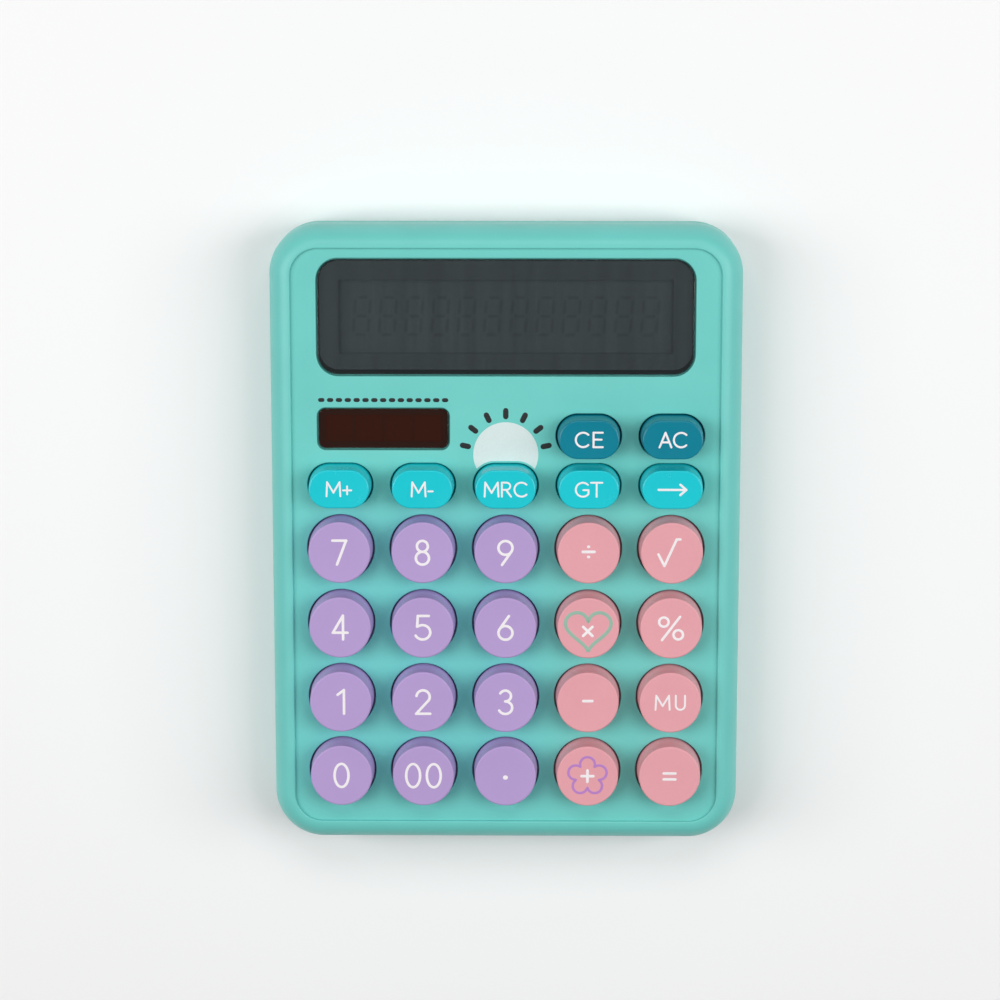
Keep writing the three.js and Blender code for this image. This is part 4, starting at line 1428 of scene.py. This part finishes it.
@dataclass
class PanelPrint:
    """Ink on the panel: a rising sun behind the middle memory key and a row of dashes."""

    sun_radius: float = 7.85 * MM
    sun_rise: float = 7.5 * MM
    hole_margin: float = 0.5 * MM
    rays: int = 7
    ray_turns: tuple[float, float] = (12.0, 168.0)
    ray_length: tuple[float, float] = (9.3 * MM, 10.6 * MM)
    ray_line: float = 1.5 * MM
    film: float = 0.02 * MM
    dash: float = 0.5 * MM
    dash_line: float = 1.1 * MM
    dash_count: int = 15
    dash_rise: float = 2.2 * MM

    def __post_init__(self) -> None:
        """Reads the panel's height and the key that the sun stands behind."""
        cap = KeyCap("key_mrc", Finish.TURQUOISE)
        box, radius, self.half_stretch = cap.shape()
        self.key = box.middle
        self.hole_radius = radius + cap.gap + self.hole_margin
        self.panel_z = Extent.of("top_cover").high.z - Case.rim_rise

    def sun_disc(self) -> bpy.types.Object:
        """Disc cut off by the key's hole.

        At x = R sin u the disc runs from y = -R cos u or the hole's outline, whichever is
        higher, up to y = R cos u.
        """
        across = self.sun_radius * np.sin(np.linspace(-np.pi / 2, np.pi / 2, 65))
        reach = np.sqrt(np.maximum(self.sun_radius ** 2 - across ** 2, 0))
        beyond = np.maximum(np.abs(across) - self.half_stretch, 0)
        outline = np.sqrt(np.maximum(self.hole_radius ** 2 - beyond ** 2, 0)) - self.sun_rise
        lower = np.minimum(np.maximum(outline, -reach), reach)
        share = np.linspace(0, 1, 5)[:, None]
        plan = np.stack([
            np.broadcast_to(across + self.key.x, (5, len(across))),
            lower + (reach - lower) * share + self.key.y + self.sun_rise,
        ], axis=2)
        draft = Draft()
        draft.film(plan, self.panel_z - self.film, self.panel_z + self.film)
        return draft.build("emblem_sun")

    def sun_rays(self) -> bpy.types.Object:
        """Short strokes that fan out over the disc."""
        turns = np.radians(np.linspace(*self.ray_turns, self.rays))
        reach = np.array(self.ray_length)[:, None]
        strokes = tuple(np.array([[math.cos(turn), math.sin(turn)]]) * reach for turn in turns)
        place = (self.key.x, self.key.y + self.sun_rise)
        return InkPress().print("emblem_rays", Mark(strokes, self.ray_line), *place, Surface(self.panel_z))

    def dashes(self) -> bpy.types.Object:
        """Even dashes over the solar window."""
        window = Extent.of("solar_window")
        first = (self.dash_line - window.size.x) / 2
        starts = np.linspace(first, -first - self.dash, self.dash_count)
        strokes = tuple(np.array([[start, 0.0], [start + self.dash, 0.0]]) for start in starts)
        place = (window.middle.x, window.high.y + self.dash_rise)
        return InkPress().print("panel_dashes", Mark(strokes, self.dash_line), *place, Surface(self.panel_z))

    def make(self) -> None:
        """Prints everything on the case."""
        settle(self.sun_disc(), CASE_BODY, Finish.SUN_DISC)
        settle(self.sun_rays(), CASE_BODY, Finish.DARK_INK)
        settle(self.dashes(), CASE_BODY, Finish.DARK_INK)


@dataclass
class Display:
    """Window with a printed mask, and the glass with twelve resting digits."""

    corner: float = 5 * MM
    ledge: float = 3.4 * MM
    edge: float = 0.25 * MM
    line: float = 0.4 * MM
    line_foot: float = 1.1 * MM
    cover: float = 5 * MM
    digits: int = 12
    digit_pitch: float = 6.3 * MM
    digit_size: tuple[float, float] = (3.6 * MM, 9.0 * MM)
    slant: float = 0.08
    segment: float = 0.75 * MM
    tip: float = 0.05
    film: float = 0.02 * MM

    def pane(self) -> bpy.types.Object:
        """Flat pane with rounded upper edges."""
        return slab("display_pane", Extent.of("display_window"), self.corner, self.edge)

    def outline(self) -> bpy.types.Object:
        """Dark line printed round the pane's underside, wider along its front edge."""
        box = Extent.of("display_window")
        outer = plan_of(box, 0.05 * MM, self.corner)
        lifted = Extent(box.low + Vector((0, self.line_foot - self.line, 0)), box.high)
        inner = plan_of(lifted, self.line, self.corner)
        return frame_film("display_outline", outer, inner, box.low.z - 0.02 * MM)

    def surround(self) -> bpy.types.Object:
        """Grey print between the line and the glass, just under the line."""
        box = Extent.of("display_window")
        outer = plan_of(box, 0.1 * MM, self.corner)
        inner = plan_of(box, self.cover, self.cover + 0.3 * MM)
        return frame_film("display_surround", outer, inner, box.low.z - 0.08 * MM)

    def segments(self) -> bpy.types.Object:
        """Seven slanted bars for each digit, barely darker than the glass."""
        glass = Extent.of("lcd_panel")
        half_w, half_h = self.digit_size[0] / 2, self.digit_size[1] / 2
        gap = self.segment * 0.62
        bars = [((-half_w + gap, y), (half_w - gap, y)) for y in (half_h, 0.0, -half_h)]
        bars += [((x, y + gap), (x, y + half_h - gap)) for x in (-half_w, half_w) for y in (-half_h, 0.0)]
        low, high = glass.high.z + 0.01 * MM, glass.high.z + 0.01 * MM + self.film
        draft = Draft()
        for number in range(self.digits):
            centre = glass.middle.x + (number - (self.digits - 1) / 2) * self.digit_pitch
            for start, end in bars:
                line = np.array([start, end])
                along = (line[1] - line[0]) / np.linalg.norm(line[1] - line[0]) * self.segment / 2
                side = np.array([-along[1], along[0]])
                middle = np.array([line[0], line[0] + along, line[1] - along, line[1]])
                reach = side * np.array([[self.tip], [1.0], [1.0], [self.tip]])
                plan = np.stack([middle - reach, middle + reach])
                plan[..., 0] += plan[..., 1] * self.slant + centre
                plan[..., 1] += glass.middle.y
                draft.film(plan, low, high)
        return draft.build("display_segments")

    def make(self) -> None:
        """Builds the display's visible pieces."""
        settle(self.pane(), CASE_BODY, Finish.WINDOW, "display_window")
        settle(self.outline(), CASE_BODY, Finish.MASK)
        settle(self.surround(), CASE_BODY, Finish.SURROUND)
        settle(self.segments(), CASE_BODY, Finish.SEGMENT)


@dataclass
class SolarPanel:
    """Window over a strip of four cells."""

    corner: float = 1.8 * MM
    ledge: float = 1.0 * MM
    edge: float = 0.2 * MM
    cells: int = 4
    seam: float = 0.22 * MM
    margin: float = 0.1 * MM
    cover: float = 0.25 * MM

    def strip(self) -> bpy.types.Object:
        """Glass strip that the films lie on."""
        return slab("solar_strip", Extent.of("solar_cell"), 0.4 * MM, 0.1 * MM)

    def surround(self) -> bpy.types.Object:
        """Dark brown print on the window's underside, round the strip."""
        window, strip = Extent.of("solar_window"), Extent.of("solar_cell")
        outer, inner = plan_of(window, 0.05 * MM, self.corner), plan_of(strip, self.cover, 0.3 * MM)
        return frame_film("solar_surround", outer, inner, window.low.z - 0.02 * MM)

    def films(self) -> bpy.types.Object:
        """One flat film for each cell, a little proud of the strip."""
        box = Extent.of("solar_cell")
        pitch = (box.size.x - 2 * self.margin) / self.cells
        draft = Draft()
        for number in range(self.cells):
            start = box.low.x + self.margin + number * pitch + self.seam / 2
            across = np.linspace(start, start + pitch - self.seam, 5)
            along = np.linspace(box.low.y + self.margin, box.high.y - self.margin, 5)
            plan = np.stack(np.meshgrid(across, along), axis=2)
            draft.film(plan, box.high.z + 0.01 * MM, box.high.z + 0.03 * MM)
        return draft.build("solar_films")

    def make(self) -> None:
        """Builds the window, the strip and its films."""
        pane = slab("solar_pane", Extent.of("solar_window"), self.corner, self.edge)
        settle(pane, CASE_BODY, Finish.SOLAR_WINDOW, "solar_window")
        settle(self.strip(), CASE_BODY, Finish.MASK, "solar_cell")
        settle(self.surround(), CASE_BODY, Finish.SOLAR_EDGE)
        settle(self.films(), CASE_BODY, Finish.SOLAR)


def plan_of(box: Extent, inset: float, corner: float) -> np.ndarray:
    """A box's plan with round corners, drawn in by an inset."""
    return box.outline(corner).ring(-inset)


def frame_film(name: str, outer: np.ndarray, inner: np.ndarray, high: float) -> bpy.types.Object:
    """A thin printed frame between two rings of equal count, hanging from a height."""
    low = high - FRAME_FILM
    corners = ((outer, high), (outer, low), (inner, low), (inner, high), (outer, high))
    draft = Draft()
    draft.grid(np.stack([at_height(ring, z) for ring, z in corners]), smooth=False)
    return draft.build(name)


def slab(name: str, box: Extent, corner: float, edge: float) -> bpy.types.Object:
    """A flat slab with round corners whose upper and lower edges are rounded.

    Args:
        name: the new piece's name.
        box: its box.
        corner: radius of its corners in plan.
        edge: radius of its edges.

    Returns:
        The slab, closed.
    """
    outline = box.outline(corner)
    low, high = box.low.z, box.high.z
    profile = path(fillet((-edge, high - edge), edge, 90, 0, 4), fillet((-edge, low + edge), edge, 0, -90, 4))
    draft = Draft()
    draft.sweep(outline, profile)
    draft.plate(outline.ring(-edge), [], high)
    draft.plate(outline.ring(-edge), [], low)
    return draft.build(name)


# --- Underside ---

@dataclass(frozen=True)
class Fastener:
    """Pan-head screw with a cross recess, head down."""

    node: str
    head_height: float
    shank_radius: float
    pitch: float = 0.8 * MM
    thread: float = 0.22 * MM
    recess_width: float = 0.55 * MM
    recess_reach: float = 0.62
    steps: int = 96

    def build(self) -> bpy.types.Object:
        """Head as a height field on rings, shank as a profile with a helical thread.

        The head's face is a low dome, z = h (r / R)^4 above its lowest point; the recess sinks it
        where the point lies on either arm of the cross.
        """
        box = Extent.of(self.node)
        head = corner_reach(box.size.x, HEAD_SIDES)
        turn = np.linspace(0, 2 * np.pi, self.steps + 1)[:-1]
        rings = np.concatenate([np.linspace(0.02, 0.72, 16), np.linspace(0.76, 1.0, 6)]) * head
        radius, angle = np.meshgrid(rings, turn, indexing="ij")
        x, y = radius * np.cos(angle), radius * np.sin(angle)
        arm = np.minimum(np.abs(x), np.abs(y)) / self.recess_width
        reach = np.maximum(np.abs(x), np.abs(y)) / (self.recess_reach * head)
        sink = 1 / (1 + np.exp(14 * (arm - 1))) / (1 + np.exp(18 * (reach - 1)))
        dome = self.head_height * 0.45 * (radius / head) ** 4
        face = box.low.z + dome + sink * self.head_height * 0.55
        head_top = box.low.z + self.head_height
        shank_z = np.linspace(head_top, box.high.z - self.shank_radius, 120)
        level, wind = np.meshgrid(shank_z, turn, indexing="ij")
        ridge = np.abs(((level - head_top) / self.pitch - wind / (2 * np.pi)) % 1 - 0.5) * 2
        thick = self.shank_radius - self.thread * ridge
        point = 0.3 * thick[-1]
        tip = at_height(np.stack([point * np.cos(turn), point * np.sin(turn)], axis=1), box.high.z)
        brim = at_height(np.stack([x[-1], y[-1]], axis=1), head_top)
        grid = np.concatenate([
            np.stack([x, y, face], axis=2), brim[None],
            np.stack([thick * np.cos(wind), thick * np.sin(wind), level], axis=2), tip[None],
        ])
        grid += np.array([box.middle.x, box.middle.y, 0])
        draft = Draft()
        draft.grid(grid)
        draft.lid(grid[0, :, :2], float(grid[0, :, 2].mean()), smooth=True)
        draft.lid(grid[-1, :, :2], box.high.z)
        return draft.build(f"{self.node}_fastener")


@dataclass
class Underside:
    """Door, feet, screws and the blank label."""

    door_corner: float = 2 * MM
    door_edge: float = 0.25 * MM
    hole_edge: float = 0.15 * MM
    head_play: float = 0.4 * MM
    head_depth: float = 1.0 * MM
    grooves: int = 5
    groove_start: float = 3.2 * MM
    groove_pitch: float = 1.7 * MM
    groove_size: tuple[float, float] = (5.5 * MM, 0.5 * MM)
    groove_depth: float = 0.45 * MM
    foot_edge: float = 0.6 * MM

    def door(self) -> bpy.types.Object:
        """Flush plate with thumb grooves at one end and a sunk screw hole at the other."""
        box, screw = Extent.of("battery_door"), Extent.of("door_screw")
        low, high, edge = box.low.z, box.high.z, self.door_edge
        outline = box.outline(self.door_corner, 0.0, 10, 6)
        profile = path(fillet((-edge, low + edge), edge, -90, 0, 4), (0, high - 0.1 * MM), (-0.1 * MM, high))
        draft = Draft()
        draft.sweep(outline, profile)
        hole = screw.circle(screw.size.x / 2 + self.head_play, 48)
        mouth, seat_z = self.hole_edge, low + self.head_depth
        step = Case.door_bore - hole.radius
        hole_profile = path(
            fillet((mouth, low + mouth), mouth, 270, 180, 3), (0, seat_z), (step, seat_z), (step, high),
        )
        draft.sweep(hole, hole_profile)
        rings = [hole.ring(hole_profile[0][0])]
        reach, radius = self.groove_size
        for number in range(self.grooves):
            y = box.high.y - self.groove_start - number * self.groove_pitch
            groove = RoundOutline(box.middle.x, y, radius, reach, 32)
            turn = np.radians(np.linspace(0, 80, 6))
            sunk = np.stack([radius * (np.cos(turn) - 1), low + self.groove_depth * np.sin(turn)], axis=1)
            draft.sweep(groove, sunk, ((-1, False),))
            rings.append(groove.ring(0))
        draft.plate(outline.ring(profile[0][0]), rings, low)
        draft.plate(outline.ring(profile[-1][0]), [hole.ring(step)], high)
        return draft.build("battery_door_lid")

    def foot(self, side: str) -> bpy.types.Object:
        """Round pad with a rounded lower edge and a shallow ring moulded in its face."""
        box = Extent.of(f"foot_{side}")
        low, high, edge = box.low.z, box.high.z, self.foot_edge
        radius = box.size.x / 2
        ring_turn = np.radians(np.linspace(180, 0, 9))
        groove = np.stack([
            radius * 0.62 + 0.35 * MM * np.cos(ring_turn), low + 0.2 * MM * np.sin(ring_turn),
        ], axis=1)
        profile = path(
            (radius * 0.2, low), groove, fillet((radius - edge, low + edge), edge, 270, 360, 6),
            (radius, high - 0.2 * MM), (radius - 0.2 * MM, high),
        )
        draft = Draft()
        draft.sweep(box.circle(0.0, 72), profile, ((0, False), (-1, False)))
        return draft.build(f"foot_{side}_pad")

    def label(self, case: Case) -> bpy.types.Object:
        """Blank foil label in its recess."""
        low, high = case.label_box()
        levels = (case.base_z + 0.1 * MM, case.base_z + 0.28 * MM)
        box = Extent(*(Vector((corner.x, corner.y, z)) for corner, z in zip((low, high), levels)))
        return slab("blank_label", box, 1.4 * MM, 0.05 * MM)

    def make(self, case: Case) -> None:
        """Builds everything on the underside."""
        settle(self.door(), CASE_BODY, Finish.CASE, "battery_door")
        settle(self.label(case), CASE_BODY, Finish.LABEL)
        for side in FOOT_SIDES:
            settle(self.foot(side), CASE_BODY, Finish.FOOT, f"foot_{side}")
        screws = [Fastener(node, Case.head_height, Case.case_bore) for node in CASE_SCREWS]
        for screw in [*screws, Fastener("door_screw", 0.7 * MM, 0.9 * MM)]:
            settle(screw.build(), CASE_BODY, Finish.SCREW, screw.node)


# --- Camera, lights and floor ---

@dataclass
class Studio:
    """Floor, lights and the camera."""

    eye: tuple[float, float, float] = (0.007, 0.145, 0.750)
    target: tuple[float, float, float] = (-0.0014, 0.0096, 0.020)
    lens: float = 110.4
    sensor: float = 36.0
    side_place: tuple[float, float, float] = (0.62, 0.1, 0.72)
    side_power: float = 4.7
    fill_power: float = 3.0
    surround: float = 0.15
    floor_reach: float = 1.5
    floor_level: float = 1.0

    def camera(self) -> None:
        """Camera high over the display end, looking down the keyboard."""
        data = bpy.data.cameras.new("camera")
        data.lens = self.lens
        data.sensor_width = self.sensor
        data.clip_start, data.clip_end = 0.01, 20
        made = bpy.data.objects.new("camera", data)
        back = (Vector(self.eye) - Vector(self.target)).normalized()
        right = Vector((0, 1, 0)).cross(back).normalized()
        made.location = self.eye
        made.rotation_mode = "QUATERNION"
        made.rotation_quaternion = Matrix((right, back.cross(right), back)).transposed().to_quaternion()
        bpy.context.scene.collection.objects.link(made)
        bpy.context.scene.camera = made

    def area_light(
            self, name: str, place: tuple[float, float, float], size: tuple[float, float],
            power: float) -> None:
        """A soft box aimed at the calculator."""
        data = bpy.data.lights.new(name, "AREA")
        data.shape = "RECTANGLE"
        data.size, data.size_y = size
        data.energy = power
        made = bpy.data.objects.new(name, data)
        made.location = place
        made.rotation_mode = "QUATERNION"
        made.rotation_quaternion = (Vector(self.target) - Vector(place)).to_track_quat("-Z", "Y")
        bpy.context.scene.collection.objects.link(made)

    def lights(self) -> None:
        """Soft boxes at both sides, a fill behind the display end and a pale surround."""
        x, y, z = self.side_place
        self.area_light("left_box", (-x, y, z), (0.45, 0.8), self.side_power)
        self.area_light("right_box", (x, y, z), (0.45, 0.8), self.side_power)
        self.area_light("rear_fill", (0.0, 0.75, 1.0), (0.9, 0.4), self.fill_power)
        world = bpy.data.worlds.new("surround")
        world.use_nodes = True
        background = world.node_tree.nodes["Background"]
        background.inputs["Color"].default_value = (1, 1, 1, 1)
        background.inputs["Strength"].default_value = self.surround
        bpy.context.scene.world = world
        bpy.context.scene.view_settings.view_transform = "Standard"

    def floor(self) -> None:
        """A sheet that dips at its far edges, well outside the view."""
        span = np.linspace(-self.floor_reach, self.floor_reach, 25)
        x, y = np.meshgrid(span, span)
        reach = np.maximum(np.hypot(x, y) - self.floor_level, 0)
        draft = Draft()
        draft.grid(np.stack([x, y, -0.05 * reach ** 2], axis=2), closed=False)
        made = draft.build("floor")
        if made.data.polygons[0].normal.z < 0:
            made.data.flip_normals()
        Finish.FLOOR.paint(made)

    def make(self) -> None:
        """Sets the stage."""
        self.camera()
        self.lights()
        self.floor()


def dress_kept_nodes() -> None:
    """Gives every CAD node that stays its finish."""
    finishes = {
        "lcd_panel": Finish.DISPLAY, "lcd_bracket": Finish.WHITE_PLASTIC, "zebra_strip": Finish.ZEBRA,
        "solar_lead_plus": Finish.RED_LEAD, "solar_lead_minus": Finish.BLACK_LEAD,
        "main_board": Finish.BOARD, "chip_blob": Finish.BLACK_RESIN,
        "button_cell": Finish.CELL, "battery_contact_plus": Finish.NICKEL,
        "battery_contact_minus": Finish.NICKEL,
    }
    for node, made in frame["nodes"].items():
        if node.startswith("board_screw"):
            Finish.SCREW.paint(made)
        elif node in finishes:
            finishes[node].paint(made)


def main() -> None:
    """Builds everything in order."""
    logging.basicConfig(level=logging.INFO, format="%(name)s: %(message)s")
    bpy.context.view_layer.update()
    Studio().make()
    case = Case()
    case.make()
    Keyboard().make()
    KeyMat().make()
    PanelPrint().make()
    Display().make()
    SolarPanel().make()
    Underside().make(case)
    dress_kept_nodes()


if __name__ == "__main__":
    main()
